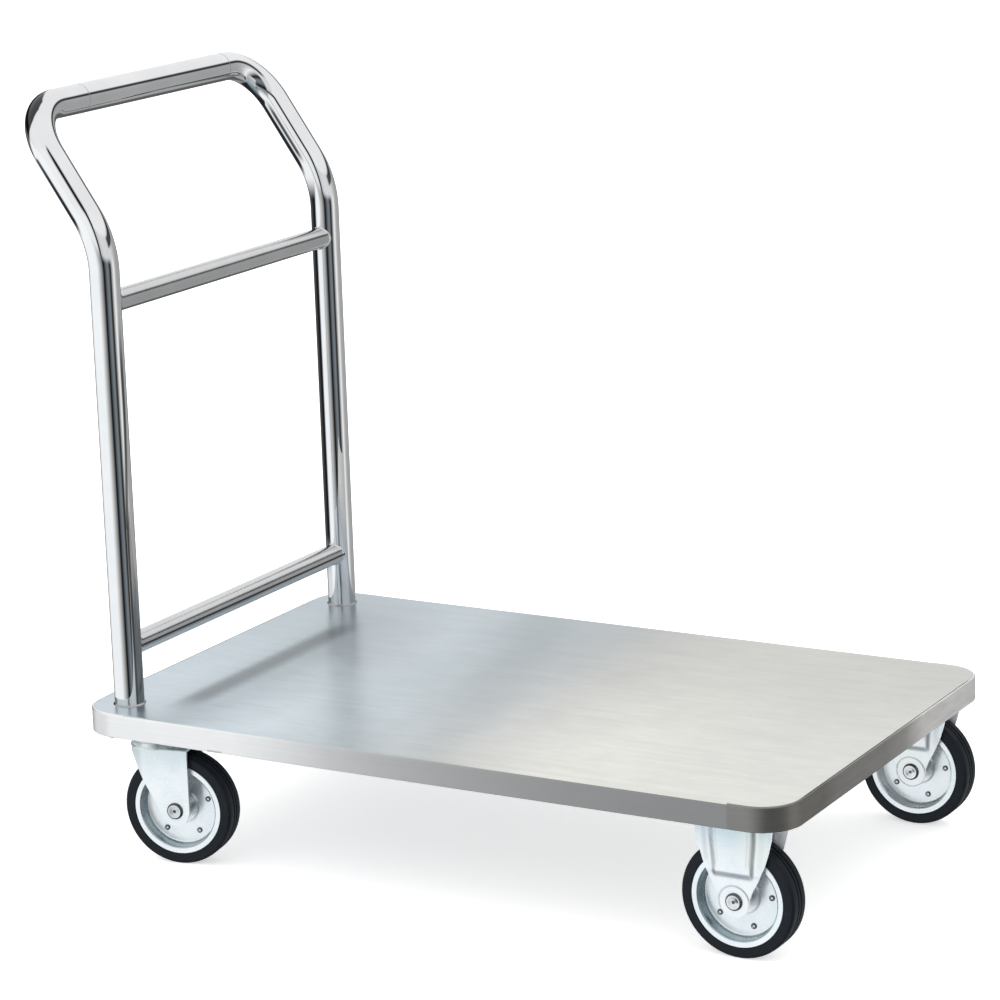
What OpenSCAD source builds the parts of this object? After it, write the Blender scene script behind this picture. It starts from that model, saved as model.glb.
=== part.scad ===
// Flat-bed luggage trolley: folded stainless deck, bent tube handle,
// two rigid casters at the front, two swivel casters under the handle.
// +X is forward (away from the handle), +Y is the trolley's left, +Z is up.
// The ground is z = 0; the origin is under the middle of the whole outline.

/* [Deck] */
// Length of the deck
deck_l = 880; // [820:10:980]
// Width of the deck
deck_w = 550; // [520:10:640]
// Height of the deck's top surface above the ground
deck_h = 178; // [176:1:184]
// Depth of the folded edge
skirt = 27.5; // [26:0.5:32]
// Plan radius of the four deck corners
corner_r = 45; // [44:1:50]
// Thickness of the deck sheet
sheet = 1.5; // [1.2:0.1:2]

/* [Handle] */
// Outside diameter of the handle tube
tube_d = 34; // [32:1:36]
// Wall of the handle tube
tube_wall = 1.5; // [1.2:0.1:2]
// Distance of the uprights from the rear edge of the deck
post_x = 42; // [40:1:46]
// Distance of the uprights from the side edges of the deck
post_y = 46; // [44:1:50]
// Height at which the uprights bend back
kink_h = 708; // [690:1:730]
// Height of the grip's centre line
top_h = 849; // [830:1:900]
// How far the grip lies behind the uprights
reach = 97; // [80:1:110]
// Centre-line radius of the bend in each upright
kink_bend = 110; // [90:5:120]
// Centre-line radius of the two top corners
corner_bend = 58; // [52:1:66]
// Diameter of the two crossbars
bar_d = 25; // [22:1:28]
// Height of the upper crossbar
bar_hi = 639; // [600:1:650]
// Height of the lower crossbar
bar_lo = 243.5; // [230:0.5:300]

/* [Casters] */
// Wheel diameter over the tyre
wheel_d = 130; // [128:1:130]
// Wheel width
wheel_w = 31; // [29:1:31]
// Distance of the rigid axles from the middle of the deck
rigid_x = 372.5; // [360:0.5:374]
// Distance of the rigid wheels from the long centre line
rigid_y = 233; // [226:1:234]
// Distance of the swivel pins from the middle of the deck
swivel_x = 359; // [350:1:362]
// Distance of the swivel pins from the long centre line
swivel_y = 235; // [226:1:235]
// Distance of each swivel wheel's axle behind its swivel pin
trail = 28; // [26:1:30]
// Angle at which the swivel wheels stand
steer = 9.9; // [0:0.1:20]

/* [Hidden] */
$fn = 72;
WR = wheel_d/2;
TR = tube_d/2;
BR = bar_d/2;
lean = atan2(reach, top_h - kink_h);
slant = sqrt(reach*reach + (top_h - kink_h)*(top_h - kink_h));
kink_t = kink_bend*tan(lean/2);
// middle of the deck, so that the whole outline is centred on the origin
CX = (reach + TR - post_x)/2;
PX = CX - deck_l/2 + post_x;
PY = deck_w/2 - post_y;
under = deck_h - sheet;
// length by which each end apron laps along the sides
lap = 20;
// caster mounting
plate_top = deck_h - 22;
plate_bot = plate_top - 4;
web = 2;
plate_x = 90;
plate_y = 76;
bolt_x = 38;
bolt_y = 30;
// fork and wheel
leg_in = 19.5;
leg_out = 22;
crown_top = WR + 73;
crown_t = 2.5;
axle_r = 6;
rim_r = 53;
well_r = 46;
hub_r = 13;
rivet_pcd_r = 34;
// seams of the grip tube
seam_r = -126;
seam_l = 160;

steel = [0.80, 0.81, 0.82];
polish = [0.86, 0.87, 0.88];
zinc = [0.78, 0.82, 0.86];
black = [0.07, 0.08, 0.09];

// ---------- deck ----------

// Plan outline of the deck, pulled in by g all round
module outline(g = 0) {
  r = corner_r - g;
  l = deck_l/2 - corner_r;
  w = deck_w/2 - corner_r;
  union() {
    square([2*l, deck_w - 2*g], center = true);
    square([deck_l - 2*g, 2*w], center = true);
    for (sx = [-1, 1], sy = [-1, 1]) translate([sx*l, sy*w]) circle(r);
  }
}

// Section of the folded long side, in the Y-Z plane, for the +Y edge
module fold_section() {
  fo = 3;
  difference() {
    translate([deck_w/2 - 20, -skirt]) square([20, skirt]);
    translate([deck_w/2 - 21, -skirt - 1]) square([21 - sheet - (fo - sheet), skirt + 1 - sheet]);
    translate([deck_w/2 - 21, -skirt - 1]) square([21 - sheet, skirt + 1 - fo]);
    translate([deck_w/2 - fo, -fo]) circle(fo - sheet);
    difference() {
      translate([deck_w/2 - fo, -fo]) square([fo + 1, fo + 1]);
      translate([deck_w/2 - fo, -fo]) circle(fo);
    }
  }
}

module deck_panel() {
  fl = deck_l/2 - corner_r - lap;
  color(steel)
  difference() {
    union() {
      // flat sheet, its ends sitting inside the two end aprons
      translate([CX, 0, deck_h - sheet]) linear_extrude(sheet) union() {
        square([2*fl, deck_w - 10], center = true);
        difference() {
          outline(2.2);
          square([2*fl - 1, deck_w], center = true);
        }
      }
      // the two folded long sides
      for (s = [0, 1]) mirror([0, s, 0])
        translate([CX - fl, 0, deck_h]) rotate([90, 0, 90])
          linear_extrude(2*fl) fold_section();
    }
    for (s = [-1, 1]) translate([PX, s*PY, deck_h - 5]) cylinder(r = TR + 1.7, h = 10);
  }
}

// Section of the end apron: a 2 mm strip with a rounded top outer edge, at radius q
module apron_section(q) {
  difference() {
    translate([q - 2, -skirt]) square([2, skirt]);
    difference() {
      translate([q - 1.5, -1.5]) square([2, 2]);
      translate([q - 1.5, -1.5]) circle(1.5);
    }
  }
}

// End strip that wraps round both corners of one end of the deck
module apron() {
  w = deck_w/2 - corner_r;
  l = deck_l/2 - corner_r;
  translate([0, 0, deck_h]) {
    translate([l, -w, 0]) rotate([0, 0, -90]) rotate_extrude(angle = 90) apron_section(corner_r);
    translate([l, w, 0]) rotate_extrude(angle = 90) apron_section(corner_r);
    translate([l, w, 0]) rotate([90, 0, 0]) linear_extrude(2*w) apron_section(corner_r);
    for (s = [0, 1]) mirror([0, s, 0]) translate([l - lap, w, 0]) rotate([90, 0, 90])
      linear_extrude(lap) apron_section(corner_r);
  }
}

module front_apron() { color(steel) translate([CX, 0, 0]) apron(); }
module rear_apron() { color(steel) translate([CX, 0, 0]) mirror([1, 0, 0]) apron(); }

// Upward-open stiffening channel across the deck, its web low enough to take the caster plates
module channel(xc, w, depth) {
  zb = under - depth;
  intersection() {
    translate([xc - w/2, -deck_w/2, zb]) difference() {
      cube([w, deck_w, depth]);
      translate([web, -1, web]) cube([w - 2*web, deck_w + 2, depth]);
    }
    translate([CX, 0, zb - 1]) linear_extrude(depth + 2) outline(3.3);
  }
}

// The four bolt holes of one caster
module caster_holes(z) {
  for (sx = [-1, 1], sy = [-1, 1]) translate([sx*bolt_x, sy*bolt_y, z - 8]) cylinder(r = 3.25, h = 16);
}

module front_channel() {
  color(steel) difference() {
    channel(CX + rigid_x, 112, under - plate_top);
    for (s = [-1, 1]) translate([CX + rigid_x, s*rigid_y, 0]) caster_holes(plate_top);
  }
}
module rear_channel() {
  color(steel) difference() {
    channel(CX - swivel_x - 3, 112, under - plate_top);
    for (s = [-1, 1]) translate([CX - swivel_x, s*swivel_y, 0]) caster_holes(plate_top);
  }
}
module centre_channel() { color(steel) channel(CX, 60, under - plate_top); }

// Doubler plates under the deck round the feet of the handle
module handle_doublers() {
  color(steel) for (s = [-1, 1]) difference() {
    translate([PX - 16.5, s*PY - 24, under - 3]) cube([60, 48, 3]);
    translate([PX, s*PY, under - 6]) cylinder(r = TR + 0.05, h = 12);
  }
}

// ---------- handle ----------

module ring2d(r, wall) { difference() { circle(r); circle(r - wall); } }
module tube(r, wall, h) { linear_extrude(h) ring2d(r, wall); }

// Solid of radius r along one side of the handle: upright, backward bend, slanted arm, top
// corner and the stub that runs along the grip to its seam. e lengthens both ends.
// Drawn for the right-hand (-Y) side, from the centre of the backward bend.
module side_path(r, stub, e) {
  up = kink_h - kink_t - (under - 3) + e;
  a_len = slant - kink_t - corner_bend;
  translate([PX - kink_bend, -PY, kink_h - kink_t]) {
    translate([kink_bend, 0, -up]) cylinder(r = r, h = up);
    intersection() {
      rotate([90, 0, 0]) rotate_extrude() translate([kink_bend, 0]) circle(r);
      difference() {
        translate([0, -50, 0]) cube([200, 100, 200]);
        rotate([0, -lean, 0]) translate([-300, -60, 0]) cube([600, 120, 300]);
      }
    }
    rotate([0, -lean, 0]) {
      translate([kink_bend, 0, 0]) cylinder(r = r, h = a_len);
      translate([kink_bend, 0, a_len]) {
        translate([0, corner_bend, 0]) rotate([0, 0, -90]) rotate([90, 0, 0])
          rotate_extrude(angle = 90) translate([corner_bend, 0]) circle(r);
        translate([0, corner_bend, corner_bend]) rotate([-90, 0, 0]) cylinder(r = r, h = stub + e);
      }
    }
  }
}
module side_tube(stub) {
  difference() {
    side_path(TR, stub, 0);
    side_path(TR - tube_wall, stub, 2);
  }
}
module side_tube_r() { color(polish) side_tube(seam_r - (-PY + corner_bend) - 0.1); }
module side_tube_l() { color(polish) mirror([0, 1, 0]) side_tube((PY - corner_bend) - seam_l - 0.1); }
module grip_tube() {
  color(polish) translate([PX - reach, seam_r + 0.1, top_h]) rotate([0, -lean, 0]) rotate([-90, 0, 0])
    tube(TR, tube_wall, seam_l - seam_r - 0.2);
}

// Crossbar with both ends saddle-cut to the uprights
module crossbar(z) {
  color(polish) difference() {
    translate([PX, -PY, z]) rotate([-90, 0, 0]) tube(BR, 1.2, 2*PY);
    for (s = [-1, 1]) translate([PX, s*PY, z - 40]) cylinder(r = TR + 0.05, h = 80);
  }
}
module upper_crossbar() { crossbar(bar_hi); }
module lower_crossbar() { crossbar(bar_lo); }

// Weld beads: in the ring gap round the foot of each upright, and round the two grip seams
module tube_welds() {
  color(polish) {
    for (s = [-1, 1]) translate([PX, s*PY, under + 0.05]) rotate_extrude() difference() {
      translate([TR + 0.02, 0]) square([1.63, sheet + 1.6]);
      translate([TR + 0.02 + 1.63, sheet + 1.6]) circle(1.2);
    }
    for (y = [seam_r, seam_l]) translate([PX - reach, y, top_h]) rotate([90, 0, 0])
      translate([0, 0, -0.8]) linear_extrude(1.6) ring2d(TR + 0.22, 0.2);
  }
}

// ---------- casters ----------

module plate2d() {
  r = 15;
  difference() {
    union() {
      square([plate_x - 2*r, plate_y], center = true);
      square([plate_x, plate_y - 2*r], center = true);
      for (sx = [-1, 1], sy = [-1, 1]) translate([sx*(plate_x/2 - r), sy*(plate_y/2 - r)]) circle(r);
    }
    for (sx = [-1, 1], sy = [-1, 1]) translate([sx*bolt_x, sy*bolt_y]) circle(3.25);
  }
}

// Hole for the axle through both fork legs
module axle_hole() { translate([0, 40, WR]) rotate([90, 0, 0]) cylinder(r = axle_r + 0.05, h = 80); }

// Rigid fork: plate and two tapering legs, each with two upright ribs and a raised boss.
// Local frame: wheel axis along Y, axle at x = 0, z = WR.
module rigid_fork() {
  h = plate_top;
  leg = [[-45, h - 1.5], [-44.5, h - 12], [-42.5, WR + 71], [-35, WR + 42], [-27, WR + 24], [-17.5, WR],
         [17.5, WR], [27, WR + 24], [35, WR + 42], [42.5, WR + 71], [44.5, h - 12], [45, h - 1.5]];
  difference() {
    union() {
      translate([0, 0, h - 3]) linear_extrude(3) plate2d();
      for (s = [0, 1]) mirror([0, s, 0]) {
        translate([0, leg_out, 0]) rotate([90, 0, 0]) linear_extrude(leg_out - leg_in) union() {
          polygon(leg);
          translate([0, WR]) circle(17.5);
        }
        translate([0, leg_out + 0.9, WR]) rotate([90, 0, 0]) cylinder(r = 15.5, h = 2);
        for (q = [-1, 1]) intersection() {
          union() {
            translate([q*22.5, leg_out - 3, WR + 34]) cylinder(r = 5.5, h = h - WR - 35);
            translate([q*22.5, leg_out - 3, WR + 34]) sphere(5.5);
          }
          translate([-50, leg_out - 1, 0]) cube([100, 20, 300]);
        }
      }
    }
    axle_hole();
  }
}

// Swivel fork: round crown with the lower ball race, two legs and a cylindrical hood
// behind the swivel pin, cut back along a slope. Local frame: pin on the Z axis,
// axle at x = trail.
module swivel_fork() {
  ct = crown_top;
  cr = 30;
  bx = -sqrt(cr*cr - leg_out*leg_out);
  fx = trail + 17.5;
  difference() {
    union() {
      // crown
      translate([0, 0, ct - crown_t]) linear_extrude(crown_t) union() {
        circle(cr);
        translate([0, -leg_out]) square([fx, 2*leg_out]);
      }
      // lower ball race with its outer wall
      translate([0, 0, ct - 0.5]) difference() {
        cylinder(r = cr - 0.2, h = 10.5);
        translate([0, 0, 6.5]) cylinder(r = cr - 2.8, h = 10);
      }
      // legs and hood, one folded sheet
      intersection() {
        translate([0, 0, WR - 20]) linear_extrude(ct - 1 - (WR - 20)) difference() {
          union() {
            intersection() { circle(cr - 0.15); translate([-40, -leg_out]) square([40, 2*leg_out]); }
            translate([-1, -leg_out]) square([fx + 1, 2*leg_out]);
          }
          union() {
            intersection() { circle(cr - 2.65); translate([-40, -leg_in]) square([40, 2*leg_in]); }
            translate([-1, -leg_in]) square([fx + 2, 2*leg_in]);
          }
        }
        translate([0, leg_out + 1, 0]) rotate([90, 0, 0]) linear_extrude(2*leg_out + 2) union() {
          polygon([[-33, ct + 1], [-33, ct + 0.5], [bx, WR + 56], [trail - 37.8, WR + 34], [trail - 15.6, WR - 7],
                   [trail, WR], [fx, WR], [fx, ct + 1]]);
          translate([trail, WR]) circle(17.5);
        }
      }
    }
    translate([0, 0, ct - 20]) cylinder(r = axle_r + 0.05, h = 60);
    translate([trail, 0, 0]) axle_hole();
  }
}

// Swivel head plate with the upper ball track
module swivel_plate() {
  difference() {
    union() {
      translate([0, 0, plate_bot]) linear_extrude(plate_top - plate_bot) plate2d();
      translate([0, 0, plate_bot - 2]) cylinder(r = 24.5, h = 3);
    }
    translate([0, 0, plate_bot - 10]) cylinder(r = axle_r, h = 30);
  }
}

// Swivel pin, held in the plate, with its head under the fork's crown
module kingpin() {
  zb = crown_top - crown_t - 0.3;
  translate([0, 0, zb - 4.2]) cylinder(r = 10.5, h = 4.2);
  translate([0, 0, zb - 1]) cylinder(r = axle_r - 0.02, h = plate_top - zb + 0.5);
}

module swivel_balls() {
  rb = (plate_bot - 2 - (crown_top + 6))/2 - 0.05;
  for (a = [0:24:359]) rotate([0, 0, a]) translate([21, 0, crown_top + 6 + rb + 0.05]) sphere(rb);
}

// Axle with a domed, centre-punched head at each end
module axle() {
  d = leg_out + 0.9;
  translate([0, 0, WR]) rotate([90, 0, 0]) difference() {
    union() {
      translate([0, 0, -d - 1]) cylinder(r = axle_r, h = 2*d + 2);
      for (s = [0, 1]) mirror([0, 0, s]) intersection() {
        translate([0, 0, d + 0.02]) cylinder(r = 9.6, h = 6);
        translate([0, 0, d + 4.4 - 16]) sphere(16);
      }
    }
    for (s = [0, 1]) mirror([0, 0, s]) translate([0, 0, d + 1.6]) cylinder(r = 1.6, h = 6);
  }
}

// The same axle for the swivel fork, whose legs have no raised boss
module axle_s() {
  d = leg_out;
  translate([0, 0, WR]) rotate([90, 0, 0]) difference() {
    union() {
      translate([0, 0, -d - 1]) cylinder(r = axle_r, h = 2*d + 2);
      for (s = [0, 1]) mirror([0, 0, s]) intersection() {
        translate([0, 0, d + 0.02]) cylinder(r = 9.6, h = 6);
        translate([0, 0, d + 4.8 - 16]) sphere(16);
      }
    }
    for (s = [0, 1]) mirror([0, 0, s]) translate([0, 0, d + 2]) cylinder(r = 1.6, h = 6);
  }
}

// Bolts and nuts for one caster; t is the thickness of the caster's plate
module bolts(t) {
  for (sx = [-1, 1], sy = [-1, 1]) translate([sx*bolt_x, sy*bolt_y, plate_top]) {
    translate([0, 0, -t - 4.1]) cylinder(r = 5.77, h = 4.08, $fn = 6);
    translate([0, 0, -t - 1]) cylinder(r = 3, h = t + 1 + web + 7.5);
  }
}
module nuts() {
  for (sx = [-1, 1], sy = [-1, 1]) translate([sx*bolt_x, sy*bolt_y, plate_top + web + 0.02]) difference() {
    cylinder(r = 5.77, h = 5.2, $fn = 6);
    translate([0, 0, -1]) cylinder(r = 3.02, h = 10);
  }
}

module each_caster() {
  for (s = [-1, 1]) {
    translate([CX + rigid_x, s*rigid_y, 0]) children(0);
    translate([CX - swivel_x, s*swivel_y, 0]) children(1);
  }
}

module rigid_at(s) { translate([CX + rigid_x, s*rigid_y, 0]) children(); }
module pin_at(s) { translate([CX - swivel_x, s*swivel_y, 0]) children(); }
module steer_at(s) { pin_at(s) rotate([0, 0, steer]) children(); }

module rigid_fork_r() { color(zinc) rigid_at(-1) rigid_fork(); }
module rigid_fork_l() { color(zinc) rigid_at(1) rigid_fork(); }
module rigid_axle_r() { color(zinc) rigid_at(-1) axle(); }
module rigid_axle_l() { color(zinc) rigid_at(1) axle(); }
module swivel_plate_r() { color(zinc) pin_at(-1) swivel_plate(); }
module swivel_plate_l() { color(zinc) pin_at(1) swivel_plate(); }
module kingpin_r() { color(zinc) pin_at(-1) kingpin(); }
module kingpin_l() { color(zinc) pin_at(1) kingpin(); }
module caster_bolts() { color(zinc) each_caster() { bolts(3); bolts(4); } }
module caster_nuts() { color(zinc) each_caster() { nuts(); nuts(); } }
module swivel_fork_r() { color(zinc) steer_at(-1) swivel_fork(); }
module swivel_fork_l() { color(zinc) steer_at(1) swivel_fork(); }
module swivel_balls_r() { color(polish) steer_at(-1) swivel_balls(); }
module swivel_balls_l() { color(polish) steer_at(1) swivel_balls(); }
module swivel_axle_r() { color(zinc) steer_at(-1) translate([trail, 0, 0]) axle_s(); }
module swivel_axle_l() { color(zinc) steer_at(1) translate([trail, 0, 0]) axle_s(); }

// ---------- wheels ----------

// Every wheel piece is drawn with its axis on Z and its middle plane at z = 0

// Solid rubber tyre, keyed between the two rim flanges, with a double centre groove
module tyre() {
  w = wheel_w/2;
  rotate_extrude() difference() {
    union() {
      translate([well_r + 0.9, -w + 1.8]) square([rim_r - well_r, 2*w - 3.6]);
      translate([rim_r + 0.1, -w]) square([WR - rim_r - 3.1, 2*w]);
      translate([rim_r + 0.1, -w + 3]) square([WR - rim_r - 0.1, 2*w - 6]);
      for (s = [-1, 1]) translate([WR - 3, s*(w - 3)]) circle(3);
    }
    for (s = [-1, 1]) translate([WR - 2, s*3 - 1.1]) square([4, 2.2]);
  }
}

// One pressed rim half: disc, well wall and flange ring, with rivet holes
module rim_half() {
  w = wheel_w/2 - 0.2;
  t = 1.4;
  difference() {
    rotate_extrude() difference() {
      union() {
        translate([hub_r + 0.05, 0.05]) square([well_r - hub_r - 0.05, t]);
        translate([well_r - t + 0.2, 0.05]) square([t, w - 0.05]);
        translate([well_r - t + 0.2, w - t]) square([rim_r - well_r + t - 0.2, t]);
        // fillet between disc and well wall
        difference() {
          translate([well_r - t - 4.8, t]) square([5.2, 5]);
          translate([well_r - t - 4.8, t + 5]) circle(5);
        }
      }
      difference() {
        translate([rim_r - 0.7, w - 0.7]) square([1, 1]);
        translate([rim_r - 0.7, w - 0.7]) circle(0.7);
      }
    }
    for (i = [0:4]) rotate([0, 0, i*72]) translate([rivet_pcd_r, 0, -1]) cylinder(r = 2.25, h = 4);
  }
}

// Hub sleeve with the running bore for the axle
module hub() {
  rotate_extrude() difference() {
    union() {
      translate([axle_r + 0.05, -18.8]) square([10.5 - axle_r, 37.6]);
      translate([axle_r + 0.05, -15.5]) square([hub_r - axle_r - 0.05, 31]);
      for (s = [-1, 1]) translate([10, s*15.5]) circle(3);
    }
    translate([-20, -30]) square([20 + axle_r + 0.05, 60]);
  }
}

module rivets() {
  for (i = [0:4]) rotate([0, 0, i*72]) translate([rivet_pcd_r, 0, 0]) difference() {
    union() {
      translate([0, 0, -2]) cylinder(r = 2.2, h = 4);
      for (s = [0, 1]) mirror([0, 0, s]) intersection() {
        translate([0, 0, 1.47]) cylinder(r = 3.2, h = 3);
        translate([0, 0, 1.47 + 1.5 - 4.2]) sphere(4.2);
      }
    }
    for (s = [0, 1]) mirror([0, 0, s]) translate([0, 0, 2.2]) cylinder(r = 1.1, h = 3);
  }
}

// Puts a wheel piece on its axle: i = 0 front right, 1 front left, 2 rear right, 3 rear left.
// The phase turns the rivets to where they stand.
module on_axle(phase) { translate([0, 0, WR]) rotate([90, -phase, 0]) children(); }
module wheel_at(i) {
  if (i < 2) rigid_at(i == 0 ? -1 : 1) on_axle(4) children();
  else steer_at(i == 2 ? -1 : 1) translate([trail, 0, 0]) on_axle(18) children();
}

module tyre_fr() { color(black) wheel_at(0) tyre(); }
module tyre_fl() { color(black) wheel_at(1) tyre(); }
module tyre_rr() { color(black) wheel_at(2) tyre(); }
module tyre_rl() { color(black) wheel_at(3) tyre(); }
// "outer" is the half towards the outside of the trolley
module rim_pos(i) { color(zinc) wheel_at(i) rim_half(); }
module rim_neg(i) { color(zinc) wheel_at(i) mirror([0, 0, 1]) rim_half(); }
module rim_outer_fr() { rim_pos(0); }
module rim_inner_fr() { rim_neg(0); }
module rim_outer_fl() { rim_neg(1); }
module rim_inner_fl() { rim_pos(1); }
module rim_outer_rr() { rim_pos(2); }
module rim_inner_rr() { rim_neg(2); }
module rim_outer_rl() { rim_neg(3); }
module rim_inner_rl() { rim_pos(3); }
module rivets_fr() { color(zinc) wheel_at(0) rivets(); }
module rivets_fl() { color(zinc) wheel_at(1) rivets(); }
module rivets_rr() { color(zinc) wheel_at(2) rivets(); }
module rivets_rl() { color(zinc) wheel_at(3) rivets(); }
module hub_fr() { color(zinc) wheel_at(0) hub(); }
module hub_fl() { color(zinc) wheel_at(1) hub(); }
module hub_rr() { color(zinc) wheel_at(2) hub(); }
module hub_rl() { color(zinc) wheel_at(3) hub(); }

deck_panel();
front_apron();
rear_apron();
front_channel();
centre_channel();
rear_channel();
handle_doublers();
side_tube_r();
side_tube_l();
grip_tube();
upper_crossbar();
lower_crossbar();
tube_welds();
rigid_fork_r();
rigid_fork_l();
rigid_axle_r();
rigid_axle_l();
swivel_plate_r();
swivel_plate_l();
kingpin_r();
kingpin_l();
caster_bolts();
caster_nuts();
swivel_fork_r();
swivel_balls_r();
swivel_axle_r();
swivel_fork_l();
swivel_balls_l();
swivel_axle_l();
tyre_fr();
rim_outer_fr();
rim_inner_fr();
rivets_fr();
hub_fr();
tyre_fl();
rim_outer_fl();
rim_inner_fl();
rivets_fl();
hub_fl();
tyre_rr();
rim_outer_rr();
rim_inner_rr();
rivets_rr();
hub_rr();
tyre_rl();
rim_outer_rl();
rim_inner_rl();
rivets_rl();
hub_rl();
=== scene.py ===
import math

import bmesh
import bpy
from mathutils import Matrix, Vector
from mathutils.geometry import tessellate_polygon


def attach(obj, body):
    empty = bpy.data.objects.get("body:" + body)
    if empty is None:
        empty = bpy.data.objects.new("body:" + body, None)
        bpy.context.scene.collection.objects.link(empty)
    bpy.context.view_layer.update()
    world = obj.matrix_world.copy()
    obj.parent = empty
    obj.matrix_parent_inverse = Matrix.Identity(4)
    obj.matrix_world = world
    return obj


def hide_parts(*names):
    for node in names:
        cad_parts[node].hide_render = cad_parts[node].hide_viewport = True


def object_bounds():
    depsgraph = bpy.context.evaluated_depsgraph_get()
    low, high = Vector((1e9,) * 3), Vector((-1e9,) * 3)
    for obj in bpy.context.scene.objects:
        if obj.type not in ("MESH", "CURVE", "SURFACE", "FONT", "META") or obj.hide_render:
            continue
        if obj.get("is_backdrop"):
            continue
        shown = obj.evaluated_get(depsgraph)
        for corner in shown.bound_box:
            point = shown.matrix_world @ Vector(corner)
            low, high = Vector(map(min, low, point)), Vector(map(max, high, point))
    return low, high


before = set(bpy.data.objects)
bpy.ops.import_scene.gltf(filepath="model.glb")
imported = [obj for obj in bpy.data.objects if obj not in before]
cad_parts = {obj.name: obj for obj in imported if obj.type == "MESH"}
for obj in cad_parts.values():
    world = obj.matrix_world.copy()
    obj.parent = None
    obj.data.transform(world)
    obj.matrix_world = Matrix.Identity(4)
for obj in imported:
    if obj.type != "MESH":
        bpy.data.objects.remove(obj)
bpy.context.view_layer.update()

# ------------------------------------------------------------------ sizes, mm
MM = 0.001
DL, DW, DH = 880.0, 550.0, 178.0
SK, CR, SH = 27.5, 45.0, 1.5
TR, TW = 17.0, 1.5
POST_X, POST_Y = 42.0, 46.0
KINK, TOP, REACH = 708.0, 849.0, 97.0
KB, CB = 110.0, 58.0
BAR_R, BAR_HI, BAR_LO = 12.5, 639.0, 243.5
WR, WW = 65.0, 31.0
RX, RY, SX, SY = 372.5, 233.0, 359.0, 235.0
TRAIL, STEER = 28.0, 9.9
LEAN = math.atan2(REACH, TOP - KINK)
SLANT = math.hypot(REACH, TOP - KINK)
KT = KB * math.tan(LEAN / 2)
CX = (REACH + TR - POST_X) / 2
PX = CX - DL / 2 + POST_X
PY = DW / 2 - POST_Y
PLATE_TOP, PLATE_BOT, WEB = 156.0, 152.0, 2.0
LEG_IN, LEG_OUT = 19.5, 22.0
CROWN = WR + 73
SEAM_R, SEAM_L = -126.0, 160.0
PI = math.pi


# ------------------------------------------------------------------ mesh tools
def rounded(pts, closed=True, seg=4):
    """Polyline with its corners rounded: pts are (x, y) or (x, y, radius)."""
    out = []
    n = len(pts)
    for i, p in enumerate(pts):
        r = p[2] if len(p) > 2 else 0
        if r <= 0 or (not closed and i in (0, n - 1)):
            out.append((p[0], p[1]))
            continue
        a, b = Vector(pts[i - 1][:2]), Vector(pts[(i + 1) % n][:2])
        c = Vector(p[:2])
        da, db = (a - c), (b - c)
        la, lb = da.length, db.length
        da.normalize()
        db.normalize()
        ang = math.acos(max(-1, min(1, da.dot(db))))
        if ang > PI - 1e-3:
            out.append((p[0], p[1]))
            continue
        t = min(r / math.tan(ang / 2), la * 0.499, lb * 0.499)
        rr = t * math.tan(ang / 2)
        mid = (da + db).normalized()
        o = c + mid * (rr / math.sin(ang / 2))
        s, e = c + da * t, c + db * t
        a0 = math.atan2(s.y - o.y, s.x - o.x)
        a1 = math.atan2(e.y - o.y, e.x - o.x)
        d = (a1 - a0 + PI) % (2 * PI) - PI
        for k in range(seg + 1):
            q = a0 + d * k / seg
            out.append((o.x + rr * math.cos(q), o.y + rr * math.sin(q)))
    return out


def thick(path, t):
    """Closed outline of a strip of thickness t on both sides of an open path."""
    n = len(path)
    left, right = [], []
    for i in range(n):
        p = Vector(path[i])
        d = Vector((0, 0))
        if i > 0:
            d += (p - Vector(path[i - 1])).normalized()
        if i < n - 1:
            d += (Vector(path[i + 1]) - p).normalized()
        d.normalize()
        nn = Vector((-d.y, d.x)) * (t / 2)
        left.append((p.x + nn.x, p.y + nn.y))
        right.append((p.x - nn.x, p.y - nn.y))
    return left + right[::-1]


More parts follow.
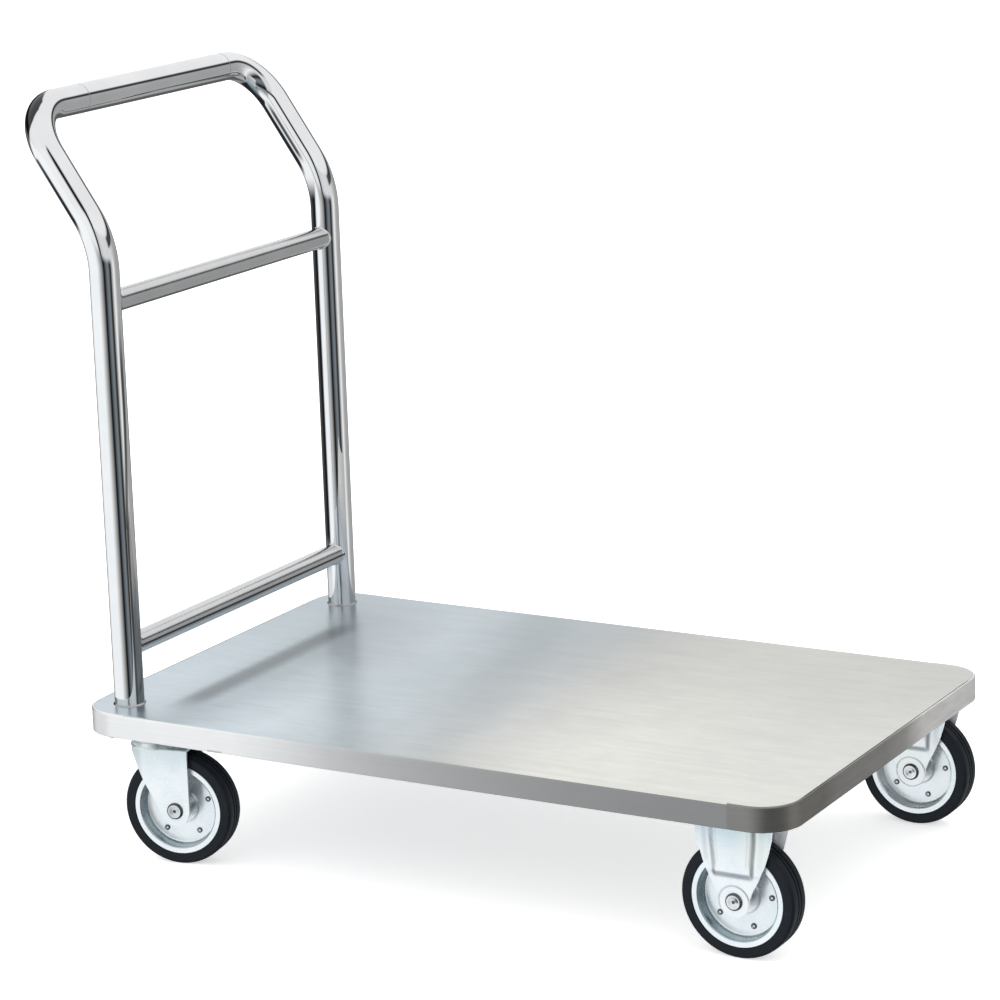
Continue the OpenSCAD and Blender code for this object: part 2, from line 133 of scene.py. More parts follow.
class Shape:
    """Vertices and faces in mm, several closed shells in one piece."""

    def __init__(self):
        self.v, self.f = [], []

    def add(self, v, f, m=None):
        o = len(self.v)
        self.v += [tuple((m @ Vector(p)) if m else p) for p in v]
        self.f += [[i + o for i in q] for q in f]
        return self

    def lathe(self, prof, n=72, closed=True, m=None):
        """Turns a profile of (radius, z) about Z."""
        v, f, rings = [], [], []
        for r, z in prof:
            if r < 1e-6:
                rings.append([len(v)])
                v.append((0, 0, z))
            else:
                b = len(v)
                rings.append(list(range(b, b + n)))
                v += [(r * math.cos(2 * PI * k / n), r * math.sin(2 * PI * k / n), z) for k in range(n)]
        cnt = len(rings)
        for i in range(cnt if closed else cnt - 1):
            a, b = rings[i], rings[(i + 1) % cnt]
            if len(a) == 1 and len(b) == 1:
                continue
            for k in range(n):
                k2 = (k + 1) % n
                if len(a) == 1:
                    f.append([a[0], b[k], b[k2]])
                elif len(b) == 1:
                    f.append([a[k], b[0], a[k2]])
                else:
                    f.append([a[k], b[k], b[k2], a[k2]])
        return self.add(v, f, m)

    def sweep(self, path, r_out, r_in=None, n=48, m=None, end_a=None, end_b=None):
        """Tube along a path of 3-D points. r_in makes it hollow. end_a and end_b trim the end rings:
        functions that move a ring point."""
        pts = [Vector(p) for p in path]
        tang = []
        for i in range(len(pts)):
            d = Vector((0, 0, 0))
            if i > 0:
                d += (pts[i] - pts[i - 1]).normalized()
            if i < len(pts) - 1:
                d += (pts[i + 1] - pts[i]).normalized()
            tang.append(d.normalized())
        ref = Vector((0, 1, 0)) if abs(tang[0].y) < 0.9 else Vector((0, 0, 1))
        u = (ref - tang[0] * ref.dot(tang[0])).normalized()
        frames = []
        for i, t in enumerate(tang):
            if i:
                u = (u - t * u.dot(t)).normalized()
            frames.append((u.copy(), t.cross(u)))
        v, f = [], []
        rows = []
        for r in ([r_out] if r_in is None else [r_out, r_in]):
            grp = []
            for i, p in enumerate(pts):
                a, b = frames[i]
                rr = r[i] if isinstance(r, (list, tuple)) else r
                ring = []
                for k in range(n):
                    q = 2 * PI * k / n
                    w = p + a * (rr * math.cos(q)) + b * (rr * math.sin(q))
                    if i == 0 and end_a:
                        w = end_a(w)
                    if i == len(pts) - 1 and end_b:
                        w = end_b(w)
                    ring.append(len(v))
                    v.append(tuple(w))
                grp.append(ring)
            rows.append(grp)
        outer = rows[0]
        for i in range(len(pts) - 1):
            for k in range(n):
                k2 = (k + 1) % n
                f.append([outer[i][k], outer[i][k2], outer[i + 1][k2], outer[i + 1][k]])
        if r_in is None:
            f.append(outer[0][::-1])
            f.append(outer[-1])
        else:
            inner = rows[1]
            for i in range(len(pts) - 1):
                for k in range(n):
                    k2 = (k + 1) % n
                    f.append([inner[i][k], inner[i + 1][k], inner[i + 1][k2], inner[i][k2]])
            for k in range(n):
                k2 = (k + 1) % n
                f.append([outer[0][k], inner[0][k], inner[0][k2], outer[0][k2]])
                f.append([outer[-1][k], outer[-1][k2], inner[-1][k2], inner[-1][k]])
        return self.add(v, f, m)

    def plate(self, outline, holes, z0, z1, bevel=0.4, m=None):
        """Flat plate with round holes (x, y, r) and a bevelled rim."""
        n = len(outline)
        ins = []
        for i in range(n):
            a, p, b = Vector(outline[i - 1]), Vector(outline[i]), Vector(outline[(i + 1) % n])
            d = ((p - a).normalized() + (b - p).normalized()).normalized()
            ins.append((p.x - d.y * bevel, p.y + d.x * bevel))
        area = sum(outline[i - 1][0] * outline[i][1] - outline[i][0] * outline[i - 1][1] for i in range(n))
        if area < 0:
            ins = [(2 * p[0] - q[0], 2 * p[1] - q[1]) for p, q in zip(outline, ins)]
        rings = [(ins, z0), (outline, z0 + bevel), (outline, z1 - bevel), (ins, z1)]
        v, f, idx = [], [], []
        for ring, z in rings:
            idx.append(list(range(len(v), len(v) + n)))
            v += [(x, y, z) for x, y in ring]
        for a, b in zip(idx, idx[1:]):
            for k in range(n):
                k2 = (k + 1) % n
                f.append([a[k], a[k2], b[k2], b[k]])
        loops_lo, loops_hi = [idx[0]], [idx[-1]]
        for hx, hy, hr in holes:
            c = [(hx + hr * math.cos(2 * PI * k / 32), hy + hr * math.sin(2 * PI * k / 32)) for k in range(32)]
            lo = list(range(len(v), len(v) + 32))
            v += [(x, y, z0) for x, y in c]
            hi = list(range(len(v), len(v) + 32))
            v += [(x, y, z1) for x, y in c]
            for k in range(32):
                k2 = (k + 1) % 32
                f.append([lo[k], hi[k], hi[k2], lo[k2]])
            loops_lo.append(lo)
            loops_hi.append(hi)
        for loops in (loops_lo, loops_hi):
            flat = [i for lp in loops for i in lp]
            tris = tessellate_polygon([[Vector((v[i][0], v[i][1], 0)) for i in lp] for lp in loops])
            f += [[flat[i] for i in t] for t in tris]
        return self.add(v, f, m)


def piece(name, shape, mat, body, node=None, sharp=32, uv=None, weighted=True, bevel=None):
    me = bpy.data.meshes.new(name)
    me.from_pydata([(x * MM, y * MM, z * MM) for x, y, z in shape.v], [], shape.f)
    bm = bmesh.new()
    bm.from_mesh(me)
    bmesh.ops.remove_doubles(bm, verts=bm.verts, dist=1e-6)
    bmesh.ops.dissolve_degenerate(bm, edges=bm.edges, dist=1e-7)
    bmesh.ops.recalc_face_normals(bm, faces=bm.faces)
    bm.to_mesh(me)
    bm.free()
    me.polygons.foreach_set("use_smooth", [True] * len(me.polygons))
    me.set_sharp_from_angle(angle=math.radians(sharp))
    if uv:
        layer = me.uv_layers.new(name="UVMap")
        for lp in me.loops:
            layer.data[lp.index].uv = uv(me.vertices[lp.vertex_index].co)
    ob = bpy.data.objects.new(name, me)
    bpy.context.scene.collection.objects.link(ob)
    me.materials.append(mat)
    if bevel:
        b = ob.modifiers.new("edge", "BEVEL")
        b.width = bevel * MM
        b.segments = 2
        b.limit_method = "ANGLE"
        b.angle_limit = math.radians(50)
        b.harden_normals = False
    if weighted:
        w = ob.modifiers.new("normals", "WEIGHTED_NORMAL")
        w.keep_sharp = True
        w.weight = 80
    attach(ob, body)
    if node:
        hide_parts(*([node] if isinstance(node, str) else node))
    return ob


def T(x, y, z):
    return Matrix.Translation((x, y, z))


def R(deg, axis):
    return Matrix.Rotation(math.radians(deg), 4, axis)


MIRY = Matrix.Diagonal((1, -1, 1, 1))


# ------------------------------------------------------------------ materials
def new_mat(name):
    m = bpy.data.materials.new(name)
    m.use_nodes = True
    nt = m.node_tree
    nt.nodes.clear()
    out = nt.nodes.new("ShaderNodeOutputMaterial")
    b = nt.nodes.new("ShaderNodeBsdfPrincipled")
    nt.links.new(b.outputs[0], out.inputs[0])
    return m, nt, b


def node(nt, kind, **kw):
    n = nt.nodes.new(kind)
    for k, v in kw.items():
        setattr(n, k, v)
    return n


def noise(nt, vec, scale, detail=4.0, rough=0.55, dims=(1, 1, 1), rot=(0, 0, 0)):
    mp = node(nt, "ShaderNodeMapping")
    mp.inputs["Scale"].default_value = dims
    mp.inputs["Rotation"].default_value = rot
    nt.links.new(vec, mp.inputs["Vector"])
    n = node(nt, "ShaderNodeTexNoise")
    n.inputs["Scale"].default_value = scale
    n.inputs["Detail"].default_value = detail
    n.inputs["Roughness"].default_value = rough
    nt.links.new(mp.outputs[0], n.inputs["Vector"])
    return n.outputs["Fac"]


def remap(nt, fac, lo, hi, a, b, smooth=True):
    n = node(nt, "ShaderNodeMapRange")
    n.interpolation_type = "SMOOTHSTEP" if smooth else "LINEAR"
    n.inputs["From Min"].default_value = lo
    n.inputs["From Max"].default_value = hi
    n.inputs["To Min"].default_value = a
    n.inputs["To Max"].default_value = b
    nt.links.new(fac, n.inputs["Value"])
    return n.outputs["Result"]


def math2(nt, op, a, b=None):
    n = node(nt, "ShaderNodeMath", operation=op)
    for i, x in enumerate((a, b)):
        if x is None:
            continue
        if isinstance(x, (int, float)):
            n.inputs[i].default_value = x
        else:
            nt.links.new(x, n.inputs[i])
    return n.outputs[0]


def mixcol(nt, fac, a, b, mode="MIX"):
    n = node(nt, "ShaderNodeMix", data_type="RGBA", blend_type=mode)
    for sock, x in ((n.inputs["Factor"], fac), (n.inputs[6], a), (n.inputs[7], b)):
        if isinstance(x, (int, float)):
            sock.default_value = x
        elif isinstance(x, tuple):
            sock.default_value = (*x, 1)
        else:
            nt.links.new(x, sock)
    return n.outputs[2]


def bump(nt, bsdf, height, dist, strength=1.0, chain=None):
    n = node(nt, "ShaderNodeBump")
    n.inputs["Strength"].default_value = strength
    n.inputs["Distance"].default_value = dist
    nt.links.new(height, n.inputs["Height"])
    if chain is not None:
        nt.links.new(chain, n.inputs["Normal"])
    if bsdf is not None:
        nt.links.new(n.outputs[0], bsdf.inputs["Normal"])
    return n.outputs[0]


def xramp(nt, fac, stops, lo, hi):
    """Ramp of stops (place, grey or colour) over lo..hi of fac."""
    mr = remap(nt, fac, lo, hi, 0.0, 1.0)
    r = node(nt, "ShaderNodeValToRGB")
    els = r.color_ramp.elements
    while len(els) > 1:
        els.remove(els[-1])
    els[0].position = 0.0
    for x, _ in stops[1:]:
        els.new((x - lo) / (hi - lo))
    for e, (_, v) in zip(els, stops):
        e.color = (*v, 1) if isinstance(v, tuple) else (v, v, v, 1)
    nt.links.new(mr, r.inputs[0])
    return r.outputs[0]


def mat_brushed(name, dark, light, r0, r1, coord="Object", streak=(2.2, 420, 420), bump_d=6e-6, zones=None, aniso=0.0):
    m, nt, b = new_mat(name)
    tc = node(nt, "ShaderNodeTexCoord")
    vec = tc.outputs[coord]
    fine = noise(nt, vec, 1.0, 4.0, 0.7, streak)
    mid = noise(nt, vec, 1.0, 3.0, 0.6, (streak[0] * 3.4, streak[1] * 0.25, streak[2] * 0.25))
    cloud = noise(nt, vec, 7.0, 5.0, 0.62)
    mott = noise(nt, vec, 60.0, 5.0, 0.7, (0.35, 1.0, 1.0))
    s = math2(nt, "ADD", math2(nt, "MULTIPLY", fine, 0.30), math2(nt, "MULTIPLY", mid, 0.12))
    s = math2(nt, "ADD", s, math2(nt, "MULTIPLY", cloud, 0.26))
    s = math2(nt, "ADD", s, math2(nt, "MULTIPLY", mott, 0.32))
    fac = remap(nt, s, 0.38, 0.62, 0.0, 1.0)
    col = mixcol(nt, fac, dark, light)
    if zones:
        col = zones(nt, tc, col)
    nt.links.new(col, b.inputs["Base Color"])
    b.inputs["Metallic"].default_value = 1.0
    if aniso:
        b.inputs["Anisotropic"].default_value = aniso
        tg = node(nt, "ShaderNodeTangent", direction_type="UV_MAP", uv_map="UVMap")
        nt.links.new(tg.outputs[0], b.inputs["Tangent"])
    rr = math2(nt, "ADD", math2(nt, "MULTIPLY", fine, 0.4), math2(nt, "MULTIPLY", cloud, 0.35))
    rr = math2(nt, "ADD", rr, math2(nt, "MULTIPLY", mott, 0.25))
    nt.links.new(remap(nt, rr, 0.38, 0.62, r0, r1), b.inputs["Roughness"])
    bump(nt, b, s, bump_d)
    return m


def mat_polished(name, col=(0.81, 0.82, 0.83), r0=0.012, r1=0.045, wobble=0.0003, zones=None):
    m, nt, b = new_mat(name)
    tc = node(nt, "ShaderNodeTexCoord")
    vec = tc.outputs["Object"]
    smear = noise(nt, vec, 14.0, 4.0, 0.6)
    fine = noise(nt, vec, 900.0, 2.0, 0.6)
    base = mixcol(nt, remap(nt, smear, 0.35, 0.68, 0, 1), tuple(c * 0.94 for c in col), col)
    if zones:
        base = zones(nt, tc, base)
    nt.links.new(base, b.inputs["Base Color"])
    b.inputs["Metallic"].default_value = 1.0
    rr = math2(nt, "ADD", math2(nt, "MULTIPLY", smear, 0.8), math2(nt, "MULTIPLY", fine, 0.2))
    nt.links.new(remap(nt, rr, 0.35, 0.7, r0, r1), b.inputs["Roughness"])
    wob = noise(nt, vec, 13.0, 1.0, 0.4)
    bump(nt, b, wob, wobble, 0.7)
    return m


def mat_zinc(name, dark=(0.68, 0.75, 0.79), light=(0.84, 0.87, 0.885), r0=0.24, r1=0.32, metal=0.78, tint=0.5, shade=0.0):
    m, nt, b = new_mat(name)
    tc = node(nt, "ShaderNodeTexCoord")
    vec = tc.outputs["Object"]
    cloud = noise(nt, vec, 30.0, 4.0, 0.6)
    grain = noise(nt, vec, 700.0, 3.0, 0.6)
    big = noise(nt, vec, 9.0, 2.0, 0.5)
    s = math2(nt, "ADD", math2(nt, "MULTIPLY", cloud, 0.92), math2(nt, "MULTIPLY", grain, 0.08))
    col = mixcol(nt, remap(nt, s, 0.28, 0.72, 0, 1), dark, light)
    if shade:                                     # painted shade under the deck with a bluish passivation tint: darker towards the top
        sep = node(nt, "ShaderNodeSeparateXYZ")
        nt.links.new(vec, sep.inputs[0])
        hi = math2(nt, "ADD", sep.outputs[2], math2(nt, "MULTIPLY", math2(nt, "SUBTRACT", big, 0.5), 0.05))
        col = mixcol(nt, remap(nt, hi, 0.100, 0.158, 0.0, shade), col, (0.30, 0.44, 0.50))
    col = mixcol(nt, remap(nt, big, 0.5, 0.7, 0, tint), col, (0.86, 0.86, 0.80))
    nt.links.new(col, b.inputs["Base Color"])
    b.inputs["Metallic"].default_value = metal
    nt.links.new(remap(nt, s, 0.32, 0.68, r0, r1), b.inputs["Roughness"])
    soft = noise(nt, vec, 55.0, 0.0, 0.4)
    bump(nt, b, soft, 2.5e-5, 0.5)
    return m


def mat_rubber(name):
    m, nt, b = new_mat(name)
    tc = node(nt, "ShaderNodeTexCoord")
    vec = tc.outputs["Object"]
    grain = noise(nt, vec, 1500.0, 3.0, 0.65)
    scuff_and_slit_shade = noise(nt, vec, 60.0, 5.0, 0.7)
    dust = noise(nt, vec, 20.0, 3.0, 0.6)
    s = math2(nt, "ADD", math2(nt, "MULTIPLY", scuff_and_slit_shade, 0.7), math2(nt, "MULTIPLY", dust, 0.3))
    col = mixcol(nt, remap(nt, s, 0.4, 0.7, 0, 1), (0.005, 0.0075, 0.011), (0.010, 0.0145, 0.021))
    nt.links.new(col, b.inputs["Base Color"])
    nt.links.new(remap(nt, s, 0.35, 0.7, 0.34, 0.52), b.inputs["Roughness"])
    b.inputs["Specular IOR Level"].default_value = 0.16
    n1 = bump(nt, None, grain, 1.2e-5, 0.5)
    bump(nt, b, scuff_and_slit_shade, 5e-5, 0.5, n1)
    return m


def deck_painted_shade(nt, tc, col):
    """Painted light and shade across the top sheet: lighter and darker areas, a painted shadow line and a painted
    reflection.
    """
    sep = node(nt, "ShaderNodeSeparateXYZ")
    nt.links.new(tc.outputs["Object"], sep.inputs[0])
    X, Y = sep.outputs[0], sep.outputs[1]
    wob = math2(nt, "MULTIPLY", math2(nt, "SUBTRACT", noise(nt, tc.outputs["Object"], 6.0, 3.0, 0.6), 0.5), 0.05)
    x = math2(nt, "ADD", X, wob)
    # painted light and shade along the deck: cool grey behind, brighter and warmer in front
    tone = xramp(nt, x, [(-0.45, (0.63, 0.72, 0.775)), (-0.24, (0.715, 0.80, 0.85)), (-0.16, (0.640, 0.723, 0.772)), (-0.06, (0.60, 0.665, 0.70)), (0.05, (0.632, 0.668, 0.683)),
                         (0.15, (0.72, 0.725, 0.70)), (0.28, (0.84, 0.835, 0.79)), (0.45, (0.81, 0.81, 0.77))], -0.45, 0.45)
    # painted shade: darker towards the far side
    far = remap(nt, Y, -0.20, 0.24, 1.0, 0.80)
    col = mixcol(nt, 1.0, mixcol(nt, 1.0, col, tone, "MULTIPLY"), far, "MULTIPLY")
    # painted shade: slanting darker band across the middle
    d = math2(nt, "ADD", x, math2(nt, "MULTIPLY", Y, 0.28))
    core = math2(nt, "MULTIPLY", remap(nt, d, -0.075, -0.020, 0.0, 1.0), remap(nt, d, -0.015, 0.045, 1.0, 0.0))
    wide = math2(nt, "MULTIPLY", remap(nt, d, -0.14, -0.04, 0.0, 1.0), remap(nt, d, 0.0, 0.12, 1.0, 0.0))
    amt = math2(nt, "ADD", math2(nt, "MULTIPLY", core, 0.09), math2(nt, "MULTIPLY", wide, 0.05))
    # painted shadow of the lower crossbar: narrow darker line just in front of the handle
    ln = math2(nt, "MULTIPLY", remap(nt, X, -0.324, -0.304, 0.0, 1.0), remap(nt, X, -0.298, -0.272, 1.0, 0.0))
    ln = math2(nt, "MULTIPLY", ln, remap(nt, Y, 0.10, 0.17, 1.0, 0.0))
    ln = math2(nt, "MULTIPLY", ln, remap(nt, Y, -0.245, -0.17, 0.0, 1.0))
    amt = math2(nt, "ADD", amt, math2(nt, "MULTIPLY", ln, 0.54))
    # soft patch where the left upright mirrors in the sheet
    e = math2(nt, "ADD", X, math2(nt, "MULTIPLY", Y, 0.585))
    st = math2(nt, "MULTIPLY", remap(nt, e, -0.245, -0.200, 0.0, 1.0), remap(nt, e, -0.190, -0.040, 1.0, 0.0))
    st = math2(nt, "MULTIPLY", st, math2(nt, "MULTIPLY", remap(nt, Y, -0.17, 0.06, 0.0, 1.0), remap(nt, Y, 0.16, 0.22, 1.0, 0.4)))
    amt = math2(nt, "ADD", amt, math2(nt, "MULTIPLY", st, 0.15))
    return mixcol(nt, amt, col, (0.02, 0.025, 0.03), "MIX")


def skirt_painted_shade(nt, tc, col):
    sep = node(nt, "ShaderNodeSeparateXYZ")
    nt.links.new(tc.outputs["Object"], sep.inputs[0])
    # painted shade along the side sheet: near white at the handle end, darker towards the front
    tone = xramp(nt, sep.outputs[0], [(-0.40, 0.97), (-0.27, 0.93), (-0.18, 0.77), (-0.10, 0.60), (-0.02, 0.51), (0.10, 0.42), (0.25, 0.345), (0.41, 0.285)], -0.40, 0.41)
    # painted shade of a small slit: a dark tick low on the near side
    dx = math2(nt, "MULTIPLY", remap(nt, sep.outputs[0], -0.229, -0.226, 0.0, 1.0), remap(nt, sep.outputs[0], -0.210, -0.206, 1.0, 0.0))
    dz = math2(nt, "MULTIPLY", remap(nt, sep.outputs[2], 0.1505, 0.1515, 0.0, 1.0), remap(nt, sep.outputs[2], 0.1525, 0.1535, 1.0, 0.0))
    scuff_and_slit_shade = math2(nt, "MULTIPLY", math2(nt, "MULTIPLY", dx, dz), remap(nt, sep.outputs[1], -0.1, 0.1, 0.45, 0.0))
    return mixcol(nt, scuff_and_slit_shade, mixcol(nt, 1.0, col, tone, "MULTIPLY"), (0.10, 0.10, 0.10))


def front_painted_shade(nt, tc, col):
    sep = node(nt, "ShaderNodeSeparateXYZ")
    nt.links.new(tc.outputs["UV"], sep.inputs[0])
    # painted light and shade round the front apron: dark on the near corner, lighter along the end, near white towards
    # the far corner
    tone = xramp(nt, sep.outputs[0], [(-0.021, (0.30, 0.295, 0.285)), (0.0, (0.27, 0.262, 0.24)), (0.06, (0.27, 0.262, 0.238)), (0.10, (0.37, 0.36, 0.345)), (0.28, (0.40, 0.395, 0.375)),
                                      (0.36, (0.52, 0.515, 0.50)), (0.43, (1.0, 0.99, 0.97)), (0.62, (1.0, 1.0, 0.99))], -0.021, 0.62)
    return mixcol(nt, 1.0, col, tone, "MULTIPLY")


def left_painted_reflection(nt, tc, col):
    """Painted reflection: dark strip down the outer side of the left upright."""
    sep = node(nt, "ShaderNodeSeparateXYZ")
    nt.links.new(tc.outputs["Object"], sep.inputs[0])
    d = math2(nt, "ADD", math2(nt, "MULTIPLY", sep.outputs[0], 0.868), math2(nt, "MULTIPLY", sep.outputs[1], 0.496))
    t = math2(nt, "MULTIPLY", math2(nt, "SUBTRACT", d, (PX * 0.868 + PY * 0.496) * MM), 1.0 / (TR * MM))
    f = math2(nt, "MULTIPLY", remap(nt, t, -0.66, -0.54, 1.0, 0.0), remap(nt, sep.outputs[2], 0.685, 0.715, 1.0, 0.0))
    f = math2(nt, "MULTIPLY", f, remap(nt, sep.outputs[2], 0.21, 0.27, 0.2, 1.0))
    f = math2(nt, "MULTIPLY", f, remap(nt, dot3(nt, sep, (0.496, -0.868, 0.0), (PX, PY, 0.0)), -0.20, -0.08, 0.0, 1.0))
    return arm_painted_reflection(nt, tc, mixcol(nt, f, col, (0.003, 0.0035, 0.005)), 1, -0.66, -0.46)


def dot3(nt, sep, v, o):
    """(P - o) . v in handle-tube radii."""
    r = math2(nt, "MULTIPLY", sep.outputs[0], v[0] / (TR * MM))
    r = math2(nt, "ADD", r, math2(nt, "MULTIPLY", sep.outputs[1], v[1] / (TR * MM)))
    r = math2(nt, "ADD", r, math2(nt, "MULTIPLY", sep.outputs[2], v[2] / (TR * MM)))
    return math2(nt, "SUBTRACT", r, sum(a * b for a, b in zip(v, o)) / TR)


def arm_painted_reflection(nt, tc, col, side, lo, hi):
    """Painted reflection: dark streak along one slanted arm (side -1 right, 1 left), lo..hi across the tube, and on
    the right arm round its corner.
    """
    sep = node(nt, "ShaderNodeSeparateXYZ")
    nt.links.new(tc.outputs["Object"], sep.inputs[0])
    a = (-math.sin(LEAN), 0.0, math.cos(LEAN))
    p0 = (PX - KB + KB * math.cos(LEAN), side * PY, KINK - KT + KB * math.sin(LEAN))
    al = (SLANT - KT - CB) / TR
    t = dot3(nt, sep, (0.698, 0.537, 0.480), p0)
    face = dot3(nt, sep, (0.441, -0.844, 0.303), p0)
    s = dot3(nt, sep, a, p0)
    f = math2(nt, "MULTIPLY", remap(nt, t, lo - 0.06, lo + 0.06, 0.0, 1.0), remap(nt, t, hi - 0.08, hi + 0.08, 1.0, 0.0))
    f = math2(nt, "MULTIPLY", f, math2(nt, "MULTIPLY", remap(nt, s, -0.6, 0.6, 0.0, 1.0), remap(nt, s, al - 1.0, al + 0.5, 1.0, 0.0)))
    if side < 0:
        h = math2(nt, "SUBTRACT", s, al)
        y = dot3(nt, sep, (0.0, -1.0, 0.0), (0.0, -PY + CB, 0.0))
        rho = math2(nt, "SQRT", math2(nt, "ADD", math2(nt, "MULTIPLY", h, h), math2(nt, "MULTIPLY", y, y)))
        ang = math2(nt, "ARCTAN2", h, y)
        e = math2(nt, "SUBTRACT", rho, CB / TR)
        q = dot3(nt, sep, (math.cos(LEAN), 0.0, math.sin(LEAN)), p0)
        rv = math2(nt, "SUBTRACT", math2(nt, "MULTIPLY", math2(nt, "COSINE", ang), 0.842), math2(nt, "MULTIPLY", math2(nt, "SINE", ang), 0.074))
        across = math2(nt, "SUBTRACT", math2(nt, "MULTIPLY", rv, q), math2(nt, "MULTIPLY", e, 0.534))
        across = math2(nt, "DIVIDE", across, math2(nt, "SQRT", math2(nt, "ADD", math2(nt, "MULTIPLY", rv, rv), 0.285)))
        depth = math2(nt, "ADD", math2(nt, "MULTIPLY", rv, e), math2(nt, "MULTIPLY", q, 0.534))
        edge = xramp(nt, ang, [(0.0, 0.12), (0.25, 0.30), (0.50, 0.72), (0.80, 1.0), (1.10, 0.98), (1.35, 0.62), (1.60, 0.1)], 0.0, 1.6)
        over = math2(nt, "SUBTRACT", math2(nt, "SUBTRACT", edge, 1.0), across)
        g = math2(nt, "MULTIPLY", remap(nt, over, -0.05, 0.05, 0.0, 1.0), remap(nt, ang, 0.0, 0.15, 0.0, 1.0))
        g = math2(nt, "MULTIPLY", g, remap(nt, ang, 1.45, 1.6, 1.0, 0.0))
        g = math2(nt, "MULTIPLY", g, remap(nt, depth, -0.12, -0.02, 0.0, 0.94))
        f = math2(nt, "MAXIMUM", math2(nt, "MULTIPLY", f, remap(nt, face, -0.05, 0.05, 0.0, 0.94)), g)
    else:
        f = math2(nt, "MULTIPLY", f, remap(nt, face, -0.05, 0.05, 0.0, 0.94))
    return mixcol(nt, f, col, (0.004, 0.005, 0.006))


def bar_painted_reflection(nt, tc, col):
    """Painted reflection: dark streak low along the front of the lower crossbar."""
    sep = node(nt, "ShaderNodeSeparateXYZ")
    nt.links.new(tc.outputs["Object"], sep.inputs[0])
    o = (PX, 0.0, BAR_LO)
    t = math2(nt, "MULTIPLY", dot3(nt, sep, (-0.449, 0.0, 0.894), o), TR / BAR_R)
    face = math2(nt, "MULTIPLY", dot3(nt, sep, (0.894, 0.0, 0.449), o), TR / BAR_R)
    f = math2(nt, "MULTIPLY", remap(nt, t, -0.60, -0.50, 0.0, 1.0), remap(nt, t, -0.42, -0.30, 1.0, 0.0))
    f = math2(nt, "MULTIPLY", f, remap(nt, face, -0.05, 0.05, 0.0, 0.9))
    return mixcol(nt, f, col, (0.012, 0.013, 0.015))


def right_painted_reflection(nt, tc, col):
    # painted reflection: dark line up the lower right upright, darker beside it near the foot, and the dark streak
    # along the right arm
    sep = node(nt, "ShaderNodeSeparateXYZ")
    nt.links.new(tc.outputs["Object"], sep.inputs[0])
    z = sep.outputs[2]
    t = dot3(nt, sep, (0.868, 0.496, 0.0), (PX, -PY, 0.0))
    face = dot3(nt, sep, (0.496, -0.868, 0.0), (PX, -PY, 0.0))
    off = math2(nt, "ABSOLUTE", math2(nt, "SUBTRACT", t, remap(nt, z, 0.35, 0.53, 0.60, 0.82)))
    line = math2(nt, "MULTIPLY", remap(nt, off, 0.04, 0.11, 0.85, 0.0), remap(nt, z, 0.56, 0.64, 1.0, 0.0))
    low = math2(nt, "MULTIPLY", remap(nt, t, 0.48, 0.56, 0.0, 0.62), remap(nt, z, 0.24, 0.36, 1.0, 0.0))
    f = math2(nt, "MULTIPLY", math2(nt, "MAXIMUM", line, low), remap(nt, face, -0.05, 0.05, 0.0, 1.0))
    return arm_painted_reflection(nt, tc, mixcol(nt, f, col, (0.006, 0.007, 0.008)), -1, 0.00, 0.18)


M_DECK = mat_brushed("steel_brushed_top", (0.86, 0.86, 0.86), (1.0, 1.0, 1.0), 0.28, 0.35, bump_d=4e-6, zones=deck_painted_shade, aniso=0.45)
M_SKIRT = mat_brushed("steel_brushed_side", (0.90, 0.90, 0.90), (1.0, 1.0, 1.0), 0.32, 0.42, zones=skirt_painted_shade)
M_APRON_F = mat_brushed("steel_brushed_front", (0.80, 0.80, 0.80), (1.0, 1.0, 1.0), 0.42, 0.52, coord="UV", streak=(3.0, 500, 1), zones=front_painted_shade)
M_APRON_R = mat_brushed("steel_brushed_rear", (0.84, 0.84, 0.84), (0.95, 0.95, 0.95), 0.30, 0.40, coord="UV", streak=(3.0, 500, 1))
M_UNDER = mat_brushed("steel_mill", (0.38, 0.39, 0.40), (0.56, 0.57, 0.58), 0.38, 0.55, streak=(6, 160, 160))
M_TUBE = mat_polished("steel_polished")
M_TUBE_R = mat_polished("steel_polished_right", zones=right_painted_reflection)
M_TUBE_L = mat_polished("steel_polished_left", zones=left_painted_reflection)
# the crossbars' steel is a darker, rougher copy of the polished tube: the darker colour is painted shade
M_BAR = mat_polished("steel_polished_bar", (0.66, 0.67, 0.675), 0.17, 0.22)
M_BAR_LO = mat_polished("steel_polished_bar_low", (0.66, 0.67, 0.675), 0.17, 0.22, zones=bar_painted_reflection)
# dark material for painted shade on the axle heads and rivets
M_SHADE = mat_zinc("steel_painted_shade", (0.07, 0.075, 0.08), (0.17, 0.175, 0.18), 0.26, 0.40, 1.0, 0.1)
M_WELD = mat_zinc("steel_weld", (0.28, 0.28, 0.29), (0.48, 0.48, 0.49), 0.22, 0.40, 1.0, 0.1)
M_SEAM = mat_polished("steel_seam", (0.62, 0.62, 0.63), 0.08, 0.16)
M_ZINC = mat_zinc("zinc_plate", shade=0.55)
M_RIM = mat_zinc("zinc_rim", (0.70, 0.765, 0.80), (0.85, 0.885, 0.90), 0.24, 0.32, 0.8)
# darker zinc for the rim's dish wall: painted shade
M_WALL_SHADE = mat_zinc("zinc_rim_wall_shade", (0.34, 0.43, 0.48), (0.52, 0.59, 0.62), 0.22, 0.30, 0.9)
M_HEAD = mat_zinc("zinc_head", (0.55, 0.58, 0.61), (0.76, 0.78, 0.80), 0.14, 0.22, 1.0)
